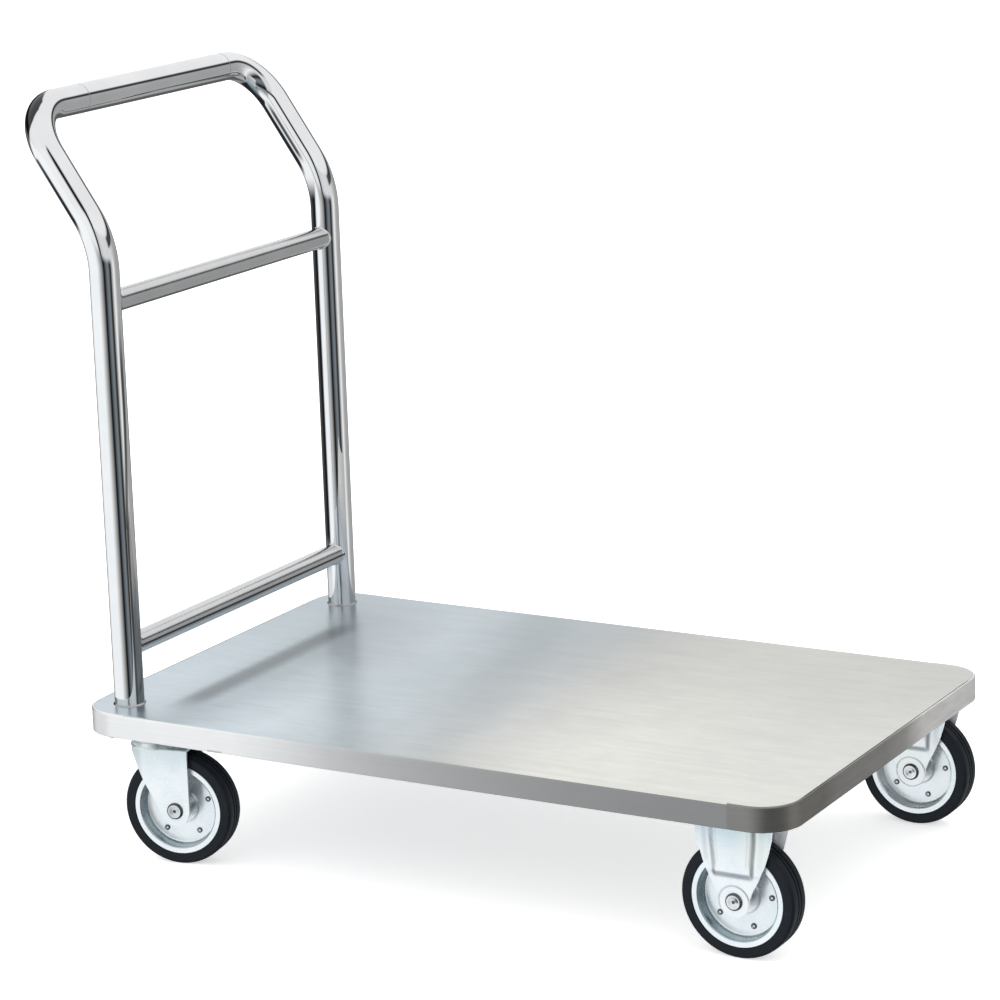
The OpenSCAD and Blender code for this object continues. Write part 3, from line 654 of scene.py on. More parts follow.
# brighter, mostly diffuse copy of the zinc for the fork's inner faces: painted light
M_INNER_LIT = mat_zinc("zinc_inside_lit", (0.72, 0.78, 0.82), (0.90, 0.92, 0.93), 0.35, 0.5, 0.15, 0.3)
M_BOLT = mat_zinc("zinc_bolt", (0.55, 0.58, 0.62), (0.78, 0.81, 0.84), 0.20, 0.34, 1.0)
M_BALL = mat_polished("steel_bearing", (0.70, 0.71, 0.72), 0.05, 0.14)
M_RUB = mat_rubber("rubber_black")

# ------------------------------------------------------------------ deck
s = Shape()
loop = []          # rounded rectangle of the flat sheet: straight sides at y = +-272
HX, HY, AR = DL / 2 - CR, DW / 2 - CR, 42.0
LAP = 20.0
for cx_, cy_, a0 in ((HX, -HY, -90), (HX, HY, 0), (-HX, HY, 90), (-HX, -HY, 180)):
    if a0 == -90:
        loop += [(CX - HX + LAP, -272.0), (CX + HX - LAP, -272.0)]
    if a0 == 90:
        loop += [(CX + HX - LAP, 272.0), (CX - HX + LAP, 272.0)]
    for k in range(17):
        a = math.radians(a0 + 90 * k / 16)
        loop.append((CX + cx_ + AR * math.cos(a), cy_ + AR * math.sin(a)))
n = len(loop)
holes = [(PX, sgn * PY, TR + 1.7) for sgn in (-1, 1)]
v, f = [], []


def side_edge(i, j):
    return abs(abs(loop[i][1]) - 272) < 1e-6 and abs(abs(loop[j][1]) - 272) < 1e-6 and abs(loop[i][0] - loop[j][0]) > 100


top = list(range(n))
v += [(x, y, DH) for x, y in loop]
bot = list(range(n, 2 * n))
v += [(x, y, DH - SH) for x, y in loop]
for i in range(n):
    j = (i + 1) % n
    if not side_edge(i, j):
        f.append([top[i], bot[i], bot[j], top[j]])
        continue
    sg = 1 if loop[i][1] > 0 else -1
    prof = []
    for k in range(1, 9):                      # outer fold
        a = math.radians(90 - 90 * k / 8)
        prof.append((272 + 3 * math.cos(a), DH - 3 + 3 * math.sin(a)))
    prof += [(275, DH - SK + 0.5), (274.5, DH - SK), (274.0, DH - SK), (273.5, DH - SK + 0.5)]
    for k in range(0, 8):                      # inner fold
        a = math.radians(90 * k / 8)
        prof.append((272 + 1.5 * math.cos(a), DH - 3 + 1.5 * math.sin(a)))
    ends = []
    for vi, x in ((i, loop[i][0]), (j, loop[j][0])):
        base = len(v)
        v += [(x, sg * y, z) for y, z in prof]
        ends.append([top[vi]] + list(range(base, base + len(prof))) + [bot[vi]])
    a, b = ends
    for k in range(len(a) - 1):
        f.append([a[k], b[k], b[k + 1], a[k + 1]])
    f.append(a)
    f.append(b[::-1])
loops_hi, loops_lo = [top], [bot]
for hx, hy, hr in holes:
    c = [(hx + hr * math.cos(2 * PI * k / 48), hy + hr * math.sin(2 * PI * k / 48)) for k in range(48)]
    hi = list(range(len(v), len(v) + 48))
    v += [(x, y, DH) for x, y in c]
    lo = list(range(len(v), len(v) + 48))
    v += [(x, y, DH - SH) for x, y in c]
    f += [[hi[k], hi[(k + 1) % 48], lo[(k + 1) % 48], lo[k]] for k in range(48)]
    loops_hi.append(hi)
    loops_lo.append(lo)
for loops in (loops_hi, loops_lo):
    flat = [i for lp in loops for i in lp]
    f += [[flat[i] for i in t] for t in tessellate_polygon([[Vector((v[i][0], v[i][1], 0)) for i in lp] for lp in loops])]
s.add(v, f)
deck = piece("deck_sheet", s, M_DECK, "cart", "deck_panel", sharp=50, uv=lambda c: (c.y + c.z, c.x))
deck.data.materials.append(M_SKIRT)
for p in deck.data.polygons:
    if abs(p.normal.y) > 0.75 or p.center.z < (DH - 2.9) * MM:
        p.material_index = 1

# end aprons: a strip that wraps both corners, with a narrow gap to the sheet along the straight end
def apron(name, flip, mat):
    path = [(HX - LAP, -DW / 2, 0, -1, 2.9), (HX - LAP + 3, -DW / 2, 0, -1, 2.9), (HX - 4, -DW / 2, 0, -1, 2.9)]
    for k in range(17):
        a = math.radians(-90 + 90 * k / 16)
        path.append((HX + CR * math.cos(a), -HY + CR * math.sin(a), math.cos(a), math.sin(a), 2.9))
    for y in (-HY + 6, -HY + 12, -100, 0, 100, HY - 12, HY - 6):
        path.append((DL / 2, y, 1, 0, 2.05 if abs(y) < HY - 8 else 2.5))
    for k in range(17):
        a = math.radians(90 * k / 16)
        path.append((HX + CR * math.cos(a), HY + CR * math.sin(a), math.cos(a), math.sin(a), 2.9))
    path += [(HX - 4, DW / 2, 0, 1, 2.9), (HX - LAP + 3, DW / 2, 0, 1, 2.9), (HX - LAP, DW / 2, 0, 1, 2.9)]
    v, f, rings = [], [], []
    for x, y, nx, ny, t in path:
        sec = [(-t + 0.3, -SK), (-0.5, -SK), (0, -SK + 0.5)]
        sec += [(-1.5 + 1.5 * math.cos(a), -1.5 + 1.5 * math.sin(a)) for a in [PI / 2 * k / 6 for k in range(7)]]
        sec += [(-t + 0.3, 0), (-t, -0.3), (-t, -SK + 0.3)]
        rings.append(list(range(len(v), len(v) + len(sec))))
        v += [(CX + flip * (x + nx * q), y + ny * q, DH + z) for q, z in sec]
    c = len(rings[0])
    for a, b in zip(rings, rings[1:]):
        f += [[a[k], b[k], b[(k + 1) % c], a[(k + 1) % c]] for k in range(c)]
    f.append(rings[0])
    f.append(rings[-1][::-1])
    sh = Shape().add(v, f)
    ob = piece(name, sh, mat, "cart", "front_apron" if flip > 0 else "rear_apron", sharp=40)
    me = ob.data
    layer = me.uv_layers.new(name="UVMap")
    for lp in me.loops:
        co = me.vertices[lp.vertex_index].co
        y = co.y / MM
        xx = flip * (co.x / MM - CX)
        arc = CR * PI / 2
        if xx < HX:
            u = -(HX - xx) if y < 0 else 2 * arc + 2 * HY + (HX - xx)
        elif abs(y) <= HY:
            u = y + HY + arc
        elif y < 0:
            u = arc - CR * math.atan2(-(y + HY), xx - HX)
        else:
            u = arc + 2 * HY + CR * math.atan2(y - HY, xx - HX)
        layer.data[lp.index].uv = (u * MM, co.z)
    return ob


apron("apron_front", 1, M_APRON_F)
apron("apron_rear", -1, M_APRON_R)

# channels and doublers are the CAD's own, with softened edges
for nm in ("front_channel", "centre_channel", "rear_channel", "handle_doublers"):
    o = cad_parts[nm]
    w = o.modifiers.new("weld", "WELD")
    w.merge_threshold = 2e-6
    b = o.modifiers.new("edge", "BEVEL")
    b.width = 0.0006
    b.segments = 2
    b.limit_method = "ANGLE"
    b.angle_limit = math.radians(60)
    o.data.materials.clear()
    o.data.materials.append(M_UNDER)

# ------------------------------------------------------------------ handle
def side_path(stub):
    z0 = DH - SH - 3
    pts = []
    zk = KINK - KT
    for k in range(9):
        pts.append((PX, -PY, z0 + (zk - z0) * k / 8))
    for k in range(1, 15):
        a = LEAN * k / 14
        pts.append((PX - KB + KB * math.cos(a), -PY, zk + KB * math.sin(a)))
    d = Vector((-math.sin(LEAN), 0, math.cos(LEAN)))
    p = Vector(pts[-1])
    al = SLANT - KT - CB
    for k in range(1, 5):
        pts.append(tuple(p + d * (al * k / 4)))
    p = Vector(pts[-1])
    for k in range(1, 25):
        a = PI / 2 * k / 24
        pts.append(tuple(p + d * (CB * math.sin(a)) + Vector((0, CB * (1 - math.cos(a)), 0))))
    p = Vector(pts[-1])
    for k in range(1, 4):
        pts.append(tuple(p + Vector((0, stub * k / 3, 0))))
    return pts


stub_r = SEAM_R - (-PY + CB) - 0.1
stub_l = (PY - CB) - SEAM_L - 0.1
piece("tube_side_r", Shape().sweep(side_path(stub_r), TR, TR - TW, 64), M_TUBE_R, "cart", "side_tube_r", sharp=40)
piece("tube_side_l", Shape().sweep([(x, -y, z) for x, y, z in side_path(stub_l)], TR, TR - TW, 64), M_TUBE_L, "cart", "side_tube_l", sharp=40)
gy0, gy1 = SEAM_R + 0.1, SEAM_L - 0.1
piece("tube_grip", Shape().sweep([(PX - REACH, gy0 + (gy1 - gy0) * k / 10, TOP) for k in range(11)], TR, TR - TW, 64), M_TUBE, "cart", "grip_tube", sharp=40)


def crossbar(name, z, nodename):
    """Both ends saddle-cut to the uprights, with a small weld fillet."""
    def saddle(sg, extra):
        def go(w):
            off = min(abs(w.x - PX), TR - 0.2)
            return Vector((w.x, sg * (PY - math.sqrt((TR + extra) ** 2 - off * off)), w.z))
        return go
    ys, rs = [], []
    L = PY - TR
    for d, fl in ((0, 1.3), (0.4, 0.8), (0.9, 0.4), (1.6, 0.1), (4.0, 0.0)):
        ys.append(-L + d)
        rs.append(BAR_R + fl)
    ys += [-150 + 30 * k for k in range(11)]
    rs += [BAR_R] * 11
    for d, fl in ((4.0, 0.0), (1.6, 0.1), (0.9, 0.4), (0.4, 0.8), (0, 1.3)):
        ys.append(L - d)
        rs.append(BAR_R + fl)
    n = 56
    v, f, rings = [], [], []
    for i, (y, r) in enumerate(zip(ys, rs)):
        ring = []
        for k in range(n):
            a = 2 * PI * k / n
            x, zz = PX + r * math.cos(a), z + r * math.sin(a)
            yy = y
            off = min(abs(x - PX), TR - 0.5)
            dip = TR - math.sqrt(TR * TR - off * off)     # how far the upright falls away
            if i < 5:
                yy = y - dip
            elif i >= len(ys) - 5:
                yy = y + dip
            ring.append(len(v))
            v.append((x, yy, zz))
        rings.append(ring)
    for a, b in zip(rings, rings[1:]):
        f += [[a[k], a[(k + 1) % n], b[(k + 1) % n], b[k]] for k in range(n)]
    inner = []
    for sg, y in ((-1, -L), (1, L)):
        ring = []
        for k in range(n):
            a = 2 * PI * k / n
            r = BAR_R - 1.2
            x, zz = PX + r * math.cos(a), z + r * math.sin(a)
            off = min(abs(x - PX), TR - 0.5)
            dip = TR - math.sqrt(TR * TR - off * off)
            ring.append(len(v))
            v.append((x, y + sg * dip, zz))
        inner.append(ring)
    a, b = inner
    f += [[a[k], b[k], b[(k + 1) % n], a[(k + 1) % n]] for k in range(n)]
    f += [[rings[0][k], a[k], a[(k + 1) % n], rings[0][(k + 1) % n]] for k in range(n)]
    f += [[rings[-1][k], rings[-1][(k + 1) % n], b[(k + 1) % n], b[k]] for k in range(n)]
    return piece(name, Shape().add(v, f), M_BAR_LO if "lower" in nodename else M_BAR, "cart", nodename, sharp=50)


crossbar("bar_upper", BAR_HI, "upper_crossbar")
crossbar("bar_lower", BAR_LO, "lower_crossbar")

# weld beads: round the feet and round the grip's seams
s = Shape()
for sg in (-1, 1):
    s.lathe(rounded([(TR + 0.03, -1.4), (TR + 1.66, -1.4), (TR + 1.66, -0.1, 0.2), (TR + 0.9, 0.7, 0.6), (TR + 0.03, 1.5)], seg=3), 64, m=T(PX, sg * PY, DH))
for y in (SEAM_R, SEAM_L):
    s.lathe([(TR + 0.02, -0.55), (TR + 0.1, -0.35), (TR + 0.14, 0), (TR + 0.1, 0.35), (TR + 0.02, 0.55)], 64, m=T(PX - REACH, y, TOP) @ R(90, "X"))
piece("weld_beads", s, M_WELD, "cart", "tube_welds", sharp=60)

# ------------------------------------------------------------------ casters
def plate_outline():
    return rounded([(-45, -38, 15), (45, -38, 15), (45, 38, 15), (-45, 38, 15)], seg=6)


BOLTS = [(sx * 38, sy * 30) for sx in (-1, 1) for sy in (-1, 1)]
BH = 3.25


def sstep(a, b, x):
    t = max(0.0, min(1.0, (x - a) / (b - a)))
    return t * t * (3 - 2 * t)


def rigid_fork(shape, m):
    shape.plate(plate_outline(), [(x, y, BH) for x, y in BOLTS], 153, 156, 0.5, m)
    NU, NV = 72, 96
    z_top = 153.0

    def half(z):
        if z < 65 + 3:
            return math.sqrt(max(17.5 ** 2 - (z - 65) ** 2, 0))
        tab = [(68, 17.3), (78, 21.0), (89, 27.0), (107, 35.0), (122, 39.6), (136, 43.0), (148, 44.6), (153, 45.0)]
        for (z0, h0), (z1, h1) in zip(tab, tab[1:]):
            if z <= z1:
                t = (z - z0) / (z1 - z0)
                return h0 + (h1 - h0) * t
        return 45.0

    def out(x, z):
        ax = abs(x)
        lower = 23.2
        upper = 24.0
        y = lower + (upper - lower) * sstep(92, 99, z)
        xr = 19.0 + 3.0 * sstep(97, 140, z)             # raised panel between two soft shoulders
        y += 2.3 * sstep(89, 99, z) * (1 - sstep(xr, xr + 5.5, ax))
        y += 0.5 * sstep(100, 112, z) * (0.5 + 0.5 * math.cos(max(-PI, min(PI, (ax - xr + 2.0) / 2.6 * PI))))
        y -= 1.0 * sstep(xr + 6, xr + 16, ax) * sstep(92, 112, z)
        rad = math.hypot(x, z - 65)
        y -= 0.75 * (1 - sstep(16.4, 18.4, rad)) if z > 60 else 0.75 * (1 - sstep(16.4, 18.4, max(rad, abs(x)))) * 1.0
        return y

    for sg in (-1, 1):
        v, f = [], []
        grid_o, grid_i = [], []
        for j in range(NV + 1):
            t = j / NV
            if t < 0.22:
                z = 65 - 17.5 * math.cos(t / 0.22 * PI / 2)
            else:
                z = 65 + (z_top - 65) * (t - 0.22) / 0.78
            h = half(z)
            ro, ri = [], []
            for i in range(NU + 1):
                u = -1 + 2 * i / NU
                x = u * h
                yo = out(x, z)
                ro.append(len(v))
                v.append((x, sg * yo, z))
                ri.append(len(v))
                v.append((x, sg * (yo - 2.6), z))
            grid_o.append(ro)
            grid_i.append(ri)
        for j in range(NV):
            for i in range(NU):
                f.append([grid_o[j][i], grid_o[j][i + 1], grid_o[j + 1][i + 1], grid_o[j + 1][i]])
                f.append([grid_i[j][i], grid_i[j + 1][i], grid_i[j + 1][i + 1], grid_i[j][i + 1]])
            f.append([grid_o[j][0], grid_o[j + 1][0], grid_i[j + 1][0], grid_i[j][0]])
            f.append([grid_o[j][NU], grid_i[j][NU], grid_i[j + 1][NU], grid_o[j + 1][NU]])
        for i in range(NU):
            f.append([grid_o[NV][i], grid_o[NV][i + 1], grid_i[NV][i + 1], grid_i[NV][i]])
            f.append([grid_o[0][i], grid_i[0][i], grid_i[0][i + 1], grid_o[0][i + 1]])
        shape.add(v, f, m)
    return shape


def axle(shape, m, seat, neck):
    """Through axle with dished, centre-punched heads; spacers between wheel and legs."""
    prof = [(0, seat + 0.6), (1.5, seat + 0.8), (1.9, seat + 1.6), (3.2, seat + 1.8), (5.6, seat + 2.3), (7.6, seat + 2.75), (8.7, seat + 2.4),
            (9.4, seat + 1.5), (9.6, seat + 0.4), (9.6, seat - 0.5), (6.0, seat - 0.5)]
    half = prof + [(6.0, neck + 2.2), (9.0, neck + 2.2), (9.0, neck + 0.15), (5.95, neck + 0.15)]
    full = half + [(r, -z) for r, z in half[::-1]]
    shape.lathe(full, 48, closed=False, m=m @ T(0, 0, WR) @ R(90, "X"))
    return shape


def swivel_fork(shape, m):
    fx = TRAIL + 17.5
    # half of the plan path on the -y side, from the front edge to the middle of the hood
    def bez(a, b, c, d, t):
        return tuple(a[k] * (1 - t) ** 3 + 3 * b[k] * t * (1 - t) ** 2 + 3 * c[k] * t * t * (1 - t) + d[k] * t ** 3 for k in (0, 1))
    def plan(out_r):
        off = LEG_OUT - out_r if False else 0
        pts = []
        for k in range(29):
            pts.append((fx + (-4 - fx) * k / 28, -LEG_OUT))
        for k in range(1, 25):
            pts.append(bez((-4, -22), (-19, -22), (-29.6, -14), (-29.6, 0), k / 24))
        pts += [(x, -y) for x, y in pts[-2::-1]]
        return pts
    po = plan(0)
    n = len(po)
    nrm = []
    for i in range(n):
        a = Vector(po[max(i - 1, 0)])
        b = Vector(po[min(i + 1, n - 1)])
        d = (b - a).normalized()
        nrm.append(Vector((d.y, -d.x)))       # points away from the middle
    c0 = Vector((0, 0))
    for i in range(n):
        if nrm[i].dot(Vector(po[i]) - Vector((10, 0))) < 0:
            nrm[i] = -nrm[i]

    low_tab = [(-33, 138.2), (-27, 131.0), (-20.4, 121.0), (-9.8, 99.0), (1.3, 78.5), (12.6, 59.5)]

    def z_low(x):
        if x >= 12.6:
            dx = min(abs(x - TRAIL), 17.5)
            return WR - math.sqrt(17.5 ** 2 - dx * dx)
        for (x0, z0), (x1, z1) in zip(low_tab, low_tab[1:]):
            if x <= x1:
                return z0 + (z1 - z0) * (x - x0) / (x1 - x0)
        return 59.5

    th, zt, rf = 2.5, CROWN, 2.6
    NV = 22
    v, f = [], []
    O, I = [], []
    for i in range(n):
        x, y = po[i]
        zl = min(z_low(x), zt - rf - 0.5)
        co, ci = [], []
        for j in range(NV + 1):
            z = zl + (zt - rf - zl) * j / NV
            co.append(len(v))
            v.append((x, y, z))
        for j in range(1, 6):                     # fold into the crown
            a = PI / 2 * j / 5
            q = rf * (1 - math.cos(a))
            co.append(len(v))
            v.append((x - nrm[i].x * q, y - nrm[i].y * q, zt - rf + rf * math.sin(a)))
        for j in range(NV + 1):
            z = zl + (zt - th - zl) * j / NV
            ci.append(len(v))
            v.append((x - nrm[i].x * th, y - nrm[i].y * th, z))
        O.append(co)
        I.append(ci)
    for i in range(n - 1):
        for j in range(len(O[0]) - 1):
            f.append([O[i][j], O[i + 1][j], O[i + 1][j + 1], O[i][j + 1]])
        for j in range(len(I[0]) - 1):
            f.append([I[i][j], I[i][j + 1], I[i + 1][j + 1], I[i + 1][j]])
        f.append([O[i][0], I[i][0], I[i + 1][0], O[i + 1][0]])
    for e in (0, n - 1):                          # front edges of the legs
        for j in range(NV):
            f.append([O[e][j], O[e][j + 1], I[e][j + 1], I[e][j]])
    tl = [O[i][-1] for i in range(n)]
    bl = [I[i][-1] for i in range(n)]
    # front edge of the crown
    e0 = [O[0][k] for k in range(NV, len(O[0]))]
    e1 = [O[n - 1][k] for k in range(NV, len(O[0]))]
    f.append(e0 + e1[::-1] + [I[n - 1][-1], I[0][-1]])
    hr = 6.05
    ht = list(range(len(v), len(v) + 32))
    v += [(hr * math.cos(2 * PI * k / 32), hr * math.sin(2 * PI * k / 32), zt) for k in range(32)]
    hb = list(range(len(v), len(v) + 32))
    v += [(hr * math.cos(2 * PI * k / 32), hr * math.sin(2 * PI * k / 32), zt - th) for k in range(32)]
    f += [[ht[k], ht[(k + 1) % 32], hb[(k + 1) % 32], hb[k]] for k in range(32)]
    for loops in ([tl, ht], [bl, hb]):
        flat = [i for lp in loops for i in lp]
        f += [[flat[i] for i in t] for t in tessellate_polygon([[Vector((v[i][0], v[i][1], 0)) for i in lp] for lp in loops])]
    shape.add(v, f, m)
    # lower race: rolled ring on the crown
    ring = rounded([(20.2, zt - 0.4), (29.7, zt - 0.4), (29.7, zt + 0.3), (28.6, zt + 2.2, 1.2), (28.8, zt + 6.6, 0.8), (29.7, zt + 7.6, 0.5), (29.7, zt + 9.6, 0.9),
                    (27.2, zt + 9.6, 0.6), (27.2, zt + 6.0, 1.6), (20.2, zt + 5.6, 0.5)], seg=3)
    shape.lathe(ring, 72, m=m)
    return shape


def bolt(shape, m, t):
    """Hexagon head below the plate, shank through it."""
    z1, z0 = PLATE_TOP - t, PLATE_TOP - t - 4.1
    v, f = [], []
    for r, z in ((4.7, z0), (5.6, z0 + 0.7), (5.77, z0 + 0.9), (5.77, z1 - 0.3), (5.5, z1 - 0.02)):
        v += [(r * math.cos(PI / 3 * k), r * math.sin(PI / 3 * k), z) for k in range(6)]
    for j in range(4):
        f += [[j * 6 + k, j * 6 + (k + 1) % 6, j * 6 + 6 + (k + 1) % 6, j * 6 + 6 + k] for k in range(6)]
    f.append([0, 1, 2, 3, 4, 5][::-1])
    f.append([24, 25, 26, 27, 28, 29])
    shape.add(v, f, m)
    zt = PLATE_TOP + WEB + 7.5
    shape.lathe([(0, z1 - 1), (3, z1 - 1), (3, zt - 0.7), (2.4, zt), (0, zt)], 24, closed=False, m=m)


def nut(shape, m):
    z0 = PLATE_TOP + WEB + 0.02
    v, f = [], []
    for r, z in ((5.4, z0), (5.77, z0 + 0.4), (5.77, z0 + 4.6), (4.9, z0 + 5.2)):
        v += [(r * math.cos(PI / 3 * k), r * math.sin(PI / 3 * k), z) for k in range(6)]
    for j in range(3):
        f += [[j * 6 + k, j * 6 + (k + 1) % 6, j * 6 + 6 + (k + 1) % 6, j * 6 + 6 + k] for k in range(6)]
    top6, bot6 = list(range(18, 24)), list(range(6))
    ht = list(range(len(v), len(v) + 24))
    v += [(3.02 * math.cos(2 * PI * k / 24), 3.02 * math.sin(2 * PI * k / 24), z0 + 5.2) for k in range(24)]
    hb = list(range(len(v), len(v) + 24))
    v += [(3.02 * math.cos(2 * PI * k / 24), 3.02 * math.sin(2 * PI * k / 24), z0) for k in range(24)]
    f += [[ht[k], ht[(k + 1) % 24], hb[(k + 1) % 24], hb[k]] for k in range(24)]
    for loops in ([top6, ht], [bot6, hb]):
        flat = [i for lp in loops for i in lp]
        f += [[flat[i] for i in t] for t in tessellate_polygon([[Vector((v[i][0], v[i][1], 0)) for i in lp] for lp in loops])]
    shape.add(v, f, m)


def paint_shade(ob, mats, test):
    """Painted shade: a second, dark material on the faces picked out by test(radius, height) about each axis."""
    ob.data.materials.append(M_SHADE)
    inv = [m.inverted() for m in mats]
    for p in ob.data.polygons:
        for m in inv:
            c = m @ (Vector(p.center) / MM)
            if test(math.hypot(c.x, c.y), abs(c.z)):
                p.material_index = 1


s_bolt, s_nut = Shape(), Shape()
for sg, side in ((-1, "r"), (1, "l")):
    mr = T(CX + RX, sg * RY, 0)
    mp = T(CX - SX, sg * SY, 0)
    ms = mp @ R(STEER, "Z")
    mx = ms @ T(TRAIL, 0, 0)
    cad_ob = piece("fork_rigid_" + side, rigid_fork(Shape(), mr), M_ZINC, "cart", "rigid_fork_" + side, sharp=45, bevel=0.35)
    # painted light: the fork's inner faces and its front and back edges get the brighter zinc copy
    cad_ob.data.materials.append(M_INNER_LIT)
    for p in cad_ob.data.polygons:
        if p.normal.y * (p.center.y - sg * RY * MM) < -0.5 * abs(p.center.y - sg * RY * MM) or abs(p.normal.x) > 0.8:
            p.material_index = 1
    ax = piece("axle_rigid_" + side, axle(Shape(), mr, 22.5, 18.8), M_HEAD, "cart", "rigid_axle_" + side, sharp=45)
    # painted shade: dark outer ring and centre punch of the axle head
    paint_shade(ax, [mr @ T(0, 0, WR) @ R(90, "X")], lambda r, h: (h > 22.2 and r > 7.9) or (h > 22.5 and r < 1.75))
    s = Shape().plate(plate_outline(), [(x, y, BH) for x, y in BOLTS], PLATE_BOT, PLATE_TOP, 0.6, mp)
    s.lathe(rounded([(6.0, 150), (24.5, 150, 1.0), (24.5, 152.6), (6.0, 152.6)], seg=3), 64, m=mp)
    piece("head_plate_" + side, s, M_ZINC, "cart", "swivel_plate_" + side, sharp=40)
    zb = CROWN - 2.5 - 0.3
    piece("pin_" + side, Shape().lathe(rounded([(0, zb - 4.2), (8.5, zb - 4.2, 0.8), (10.5, zb - 2.6, 1.0), (10.5, zb, 0.3), (5.98, zb), (5.98, PLATE_TOP + 0.5, 0.8), (0, PLATE_TOP + 0.5)], closed=False, seg=3), 48, closed=False, m=mp),
          M_BOLT, "cart", "kingpin_" + side, sharp=45)
    for x, y in BOLTS:
        bolt(s_bolt, mr @ T(x, y, 0) @ R(17 * (x + y) % 60, "Z"), 3)
        bolt(s_bolt, mp @ T(x, y, 0) @ R(23 * (x - y) % 60, "Z"), 4)
        nut(s_nut, mr @ T(x, y, 0) @ R(11 * (x + y) % 60, "Z"))
        nut(s_nut, mp @ T(x, y, 0) @ R(7 * (x - y) % 60, "Z"))
    piece("fork_swivel_" + side, swivel_fork(Shape(), ms), M_ZINC, "swivel_" + side, "swivel_fork_" + side, sharp=45, bevel=0.3)
    ax = piece("axle_swivel_" + side, axle(Shape(), mx, 22.02, 18.8), M_HEAD, "swivel_" + side, "swivel_axle_" + side, sharp=45)
    # painted shade: dark outer ring and centre punch of the axle head
    paint_shade(ax, [mx @ T(0, 0, WR) @ R(90, "X")], lambda r, h: (h > 21.7 and r > 7.9) or (h > 22.0 and r < 1.75))
    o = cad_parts["swivel_balls_" + side]
    o.data.materials.clear()
    o.data.materials.append(M_BALL)
piece("plate_bolts", s_bolt, M_BOLT, "cart", "caster_bolts", sharp=30)
piece("plate_nuts", s_nut, M_BOLT, "cart", "caster_nuts", sharp=30)

# ------------------------------------------------------------------ wheels (drawn with the axis on Z)
def tyre():
    w = WW / 2
    half = [(46.9, 0), (46.9, w - 1.8, 0.4), (53.12, w - 1.8), (53.12, w - 0.1, 0.25), (53.9, w, 0.5), (WR - 2.6, w - 0.1, 1.6), (WR - 0.25, w - 2.6, 1.4), (WR, w - 6.0, 4.0),
            (WR, 4.1, 0.5), (WR - 2.0, 4.0, 0.6), (WR - 2.0, 2.0, 0.6), (WR - 0.05, 1.9, 0.5)]
    full = half + [(p[0], -p[1], *p[2:]) for p in half[:0:-1]]
    return Shape().lathe(rounded(full, seg=4), 128)


def rim_half(sg):
    path = rounded([(13.1, 0.75), (18.5, 0.75, 1.5), (21.0, 1.35, 1.5), (38.9, 1.35), (45.0, 1.6, 6.6), (45.4, 9.0, 3.0), (45.9, 14.6, 1.7), (52.2, 14.6)], closed=False, seg=6)
    prof = thick(path, 1.36)
    sh = Shape().lathe(prof, 128, m=Matrix.Diagonal((1, 1, sg, 1)))
    return sh


def rivets():
    sh = Shape()
    for i in range(5):
        m = R(72 * i, "Z") @ T(34, 0, 0)
        half = [(0, 2.2), (1.15, 2.25), (1.35, 3.0), (1.9, 3.55), (2.7, 3.5), (3.15, 2.9), (3.2, 2.04), (2.2, 2.04)]
        full = half + [(r, -z) for r, z in half[::-1]]
        sh.lathe(full, 24, closed=False, m=m)
    return sh


def hub():
    half = [(6.05, 18.75), (9.9, 18.75, 0.5), (10.5, 18.2, 0.4), (10.6, 16.4, 1.2), (12.9, 15.0, 2.2), (13.04, 11, 3), (13.04, 0)]
    full = half + [(p[0], -p[1], *p[2:]) for p in half[-2::-1]]
    return Shape().lathe(rounded(full, seg=4), 72)


for i, w in enumerate(("fr", "fl", "rr", "rl")):
    sg = -1 if w[1] == "r" else 1
    if i < 2:
        base = T(CX + RX, sg * RY, 0)
        phase = 4
    else:
        base = T(CX - SX, sg * SY, 0) @ R(STEER, "Z") @ T(TRAIL, 0, 0)
        phase = 18
    m = base @ T(0, 0, WR) @ R(-phase, "Y") @ R(90, "X")
    body = "wheel_" + w

    def at(sh):
        return Shape().add(sh.v, sh.f, m)
    piece("wheel_tyre_" + w, at(tyre()), M_RUB, body, "tyre_" + w, sharp=50)
    outer = 1 if sg < 0 else -1
    ro = piece("wheel_rim_out_" + w, at(rim_half(outer)), M_RIM, body, "rim_outer_" + w, sharp=50)
    # painted shade: the dish wall of the outer rim half gets the darker zinc
    ro.data.materials.append(M_WALL_SHADE)
    im = m.inverted()
    for p in ro.data.polygons:
        c = im @ (Vector(p.center) / MM)
        if 43.3 < math.hypot(c.x, c.y) < 46.6:
            p.material_index = 1
    piece("wheel_rim_in_" + w, at(rim_half(-outer)), M_RIM, body, "rim_inner_" + w, sharp=50)
    rv = piece("wheel_rivets_" + w, at(rivets()), M_BOLT, body, "rivets_" + w, sharp=40)
    # painted shade: dark ring round the rim of each rivet head
    paint_shade(rv, [m @ R(72 * k, "Z") @ T(34, 0, 0) for k in range(5)], lambda r, h: 2.1 < r < 3.4)
    piece("wheel_hub_" + w, at(hub()), M_HEAD, body, "hub_" + w, sharp=45)

